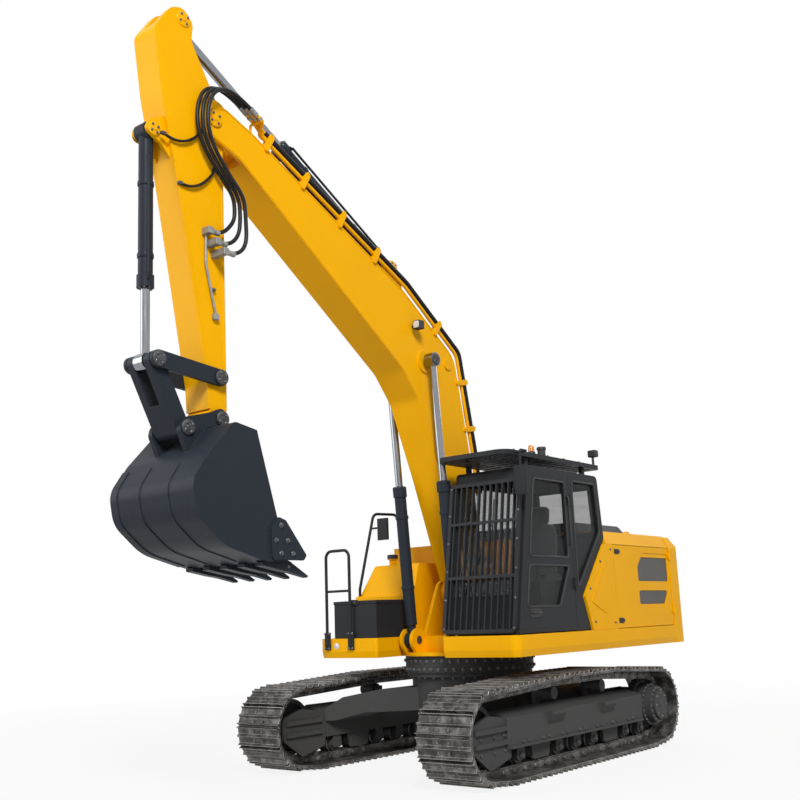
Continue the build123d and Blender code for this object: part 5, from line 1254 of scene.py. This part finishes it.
class EXC_OT_arm_dressing(bpy.types.Operator):
    """Weld seams of the arm and two hose lines clipped to its left face"""

    bl_idname = "excavator.arm_dressing"
    bl_label = "Arm dressing"

    def execute(self, context):
        lines = []
        for start, end, sag in (((4.042, 5.982), (4.493, 5.784), 0.10), ((3.897, 5.635), (4.299, 5.375), 0.09)):
            t = np.linspace(0.0, 1.0, 40)
            x = start[0] + (end[0] - start[0]) * t
            z = start[1] + (end[1] - start[1]) * t - 4 * sag * t * (1 - t)
            lines.append(carried(points_of(x, 0.166 + 0.012 * np.sin(np.pi * t), z), circle(0.013, 12)))
        add_piece("arm_lines", lines, "hose_rubber", "arm")
        clip = pad((0, 0, 0.014), (0.026, 0.014, 0.02), 0.35, 12, 24)
        ends = ((4.042, 5.982), (4.493, 5.784), (3.897, 5.635), (4.299, 5.375), (3.92, 4.47))
        add_piece("arm_clips", [repeat(clip, frame_at(side_view(ends, ARM_FACE), ACROSS))], "pin_steel", "arm")
        bead = circle(0.006, 8)
        for name, points in (
            ("arm_seam", ((3.757, 3.75), (3.782, 4.365), (3.808, 5.54), (3.815, 6.1))),
            ("arm_seam_front", ((4.0, 3.85), (4.072, 4.235), (4.322, 5.48), (4.36, 5.58))),
        ):
            path = smooth_path(points, 40)
            swell = ripple(len(path), 0.14, 1.7)
            seams = [carried(side_view(path, side * ARM_FACE), bead, swell=swell) for side in SIDES]
            add_piece(name, seams, "machine_yellow", "arm")
        return {"FINISHED"}


class EXC_OT_bucket_dressing(bpy.types.Operator):
    """Cutter bolts, tooth pins and weld beads of the bucket"""

    bl_idname = "excavator.bucket_dressing"
    bl_label = "Bucket dressing"

    def execute(self, context):
        cutter = ((3.50, 2.35), (3.56, 2.22), (3.42, 2.22), (3.50, 2.11), (3.36, 2.11))
        spots = mirrored(side_view(cutter, 0.575))
        bolts("cutter_bolts", spots, outwards(spots), 0.034, "pin_steel", "bucket")
        teeth = np.linspace(-0.458, 0.458, 5)
        spots = [(3.34, y + side * 0.046, 2.005) for y in teeth for side in SIDES]
        axes = [(0.0, side, 0.0) for y in teeth for side in SIDES]
        add_piece("tooth_pins", [placed("tooth_pin", spots, axes)], "pin_steel", "bucket")
        bead = circle(0.007, 8)
        path = smooth_path(((3.80, 3.172), (3.9, 3.19), (4.0, 3.205), (4.08, 3.13), (4.20, 2.995)), 20)
        swell = ripple(len(path), 0.15, 1.8)
        beads = [carried(side_view(path, side * y), bead, swell=swell) for side in SIDES for y in (0.163, 0.217)]
        add_piece("bucket_beads", beads, "bucket_paint", "bucket")
        return {"FINISHED"}


OPERATORS = (
    EXC_OT_finishes,
    EXC_OT_hoses,
    EXC_OT_boom_dressing,
    EXC_OT_arm_dressing,
    EXC_OT_bucket_dressing,
    EXC_OT_pin_caps,
    EXC_OT_cylinders,
    EXC_OT_chain,
    EXC_OT_undercarriage,
    EXC_OT_house,
    EXC_OT_cab_seals,
    EXC_OT_cab_fittings,
    EXC_OT_cab_inside,
    EXC_OT_stage,
)


class EXC_PT_panel(bpy.types.Panel):
    """Lists the dressing steps"""

    bl_idname = "EXC_PT_panel"
    bl_label = "Excavator"
    bl_space_type = "VIEW_3D"
    bl_region_type = "UI"
    bl_category = "Excavator"

    def draw(self, context):
        look = context.scene.excavator_look
        for name in ExcavatorLook.__annotations__:
            self.layout.prop(look, name)
        for operator in OPERATORS:
            self.layout.operator(operator.bl_idname)


CLASSES = (ExcavatorLook, *OPERATORS, EXC_PT_panel)


def register():
    for cls in CLASSES:
        bpy.utils.register_class(cls)
    bpy.types.Scene.excavator_look = bpy.props.PointerProperty(type=ExcavatorLook)


def unregister():
    del bpy.types.Scene.excavator_look
    for cls in reversed(CLASSES):
        bpy.utils.unregister_class(cls)


def main():
    register()
    for operator in OPERATORS:
        getattr(bpy.ops.excavator, operator.bl_idname.split(".")[1])()


if __name__ == "__main__":
    main()
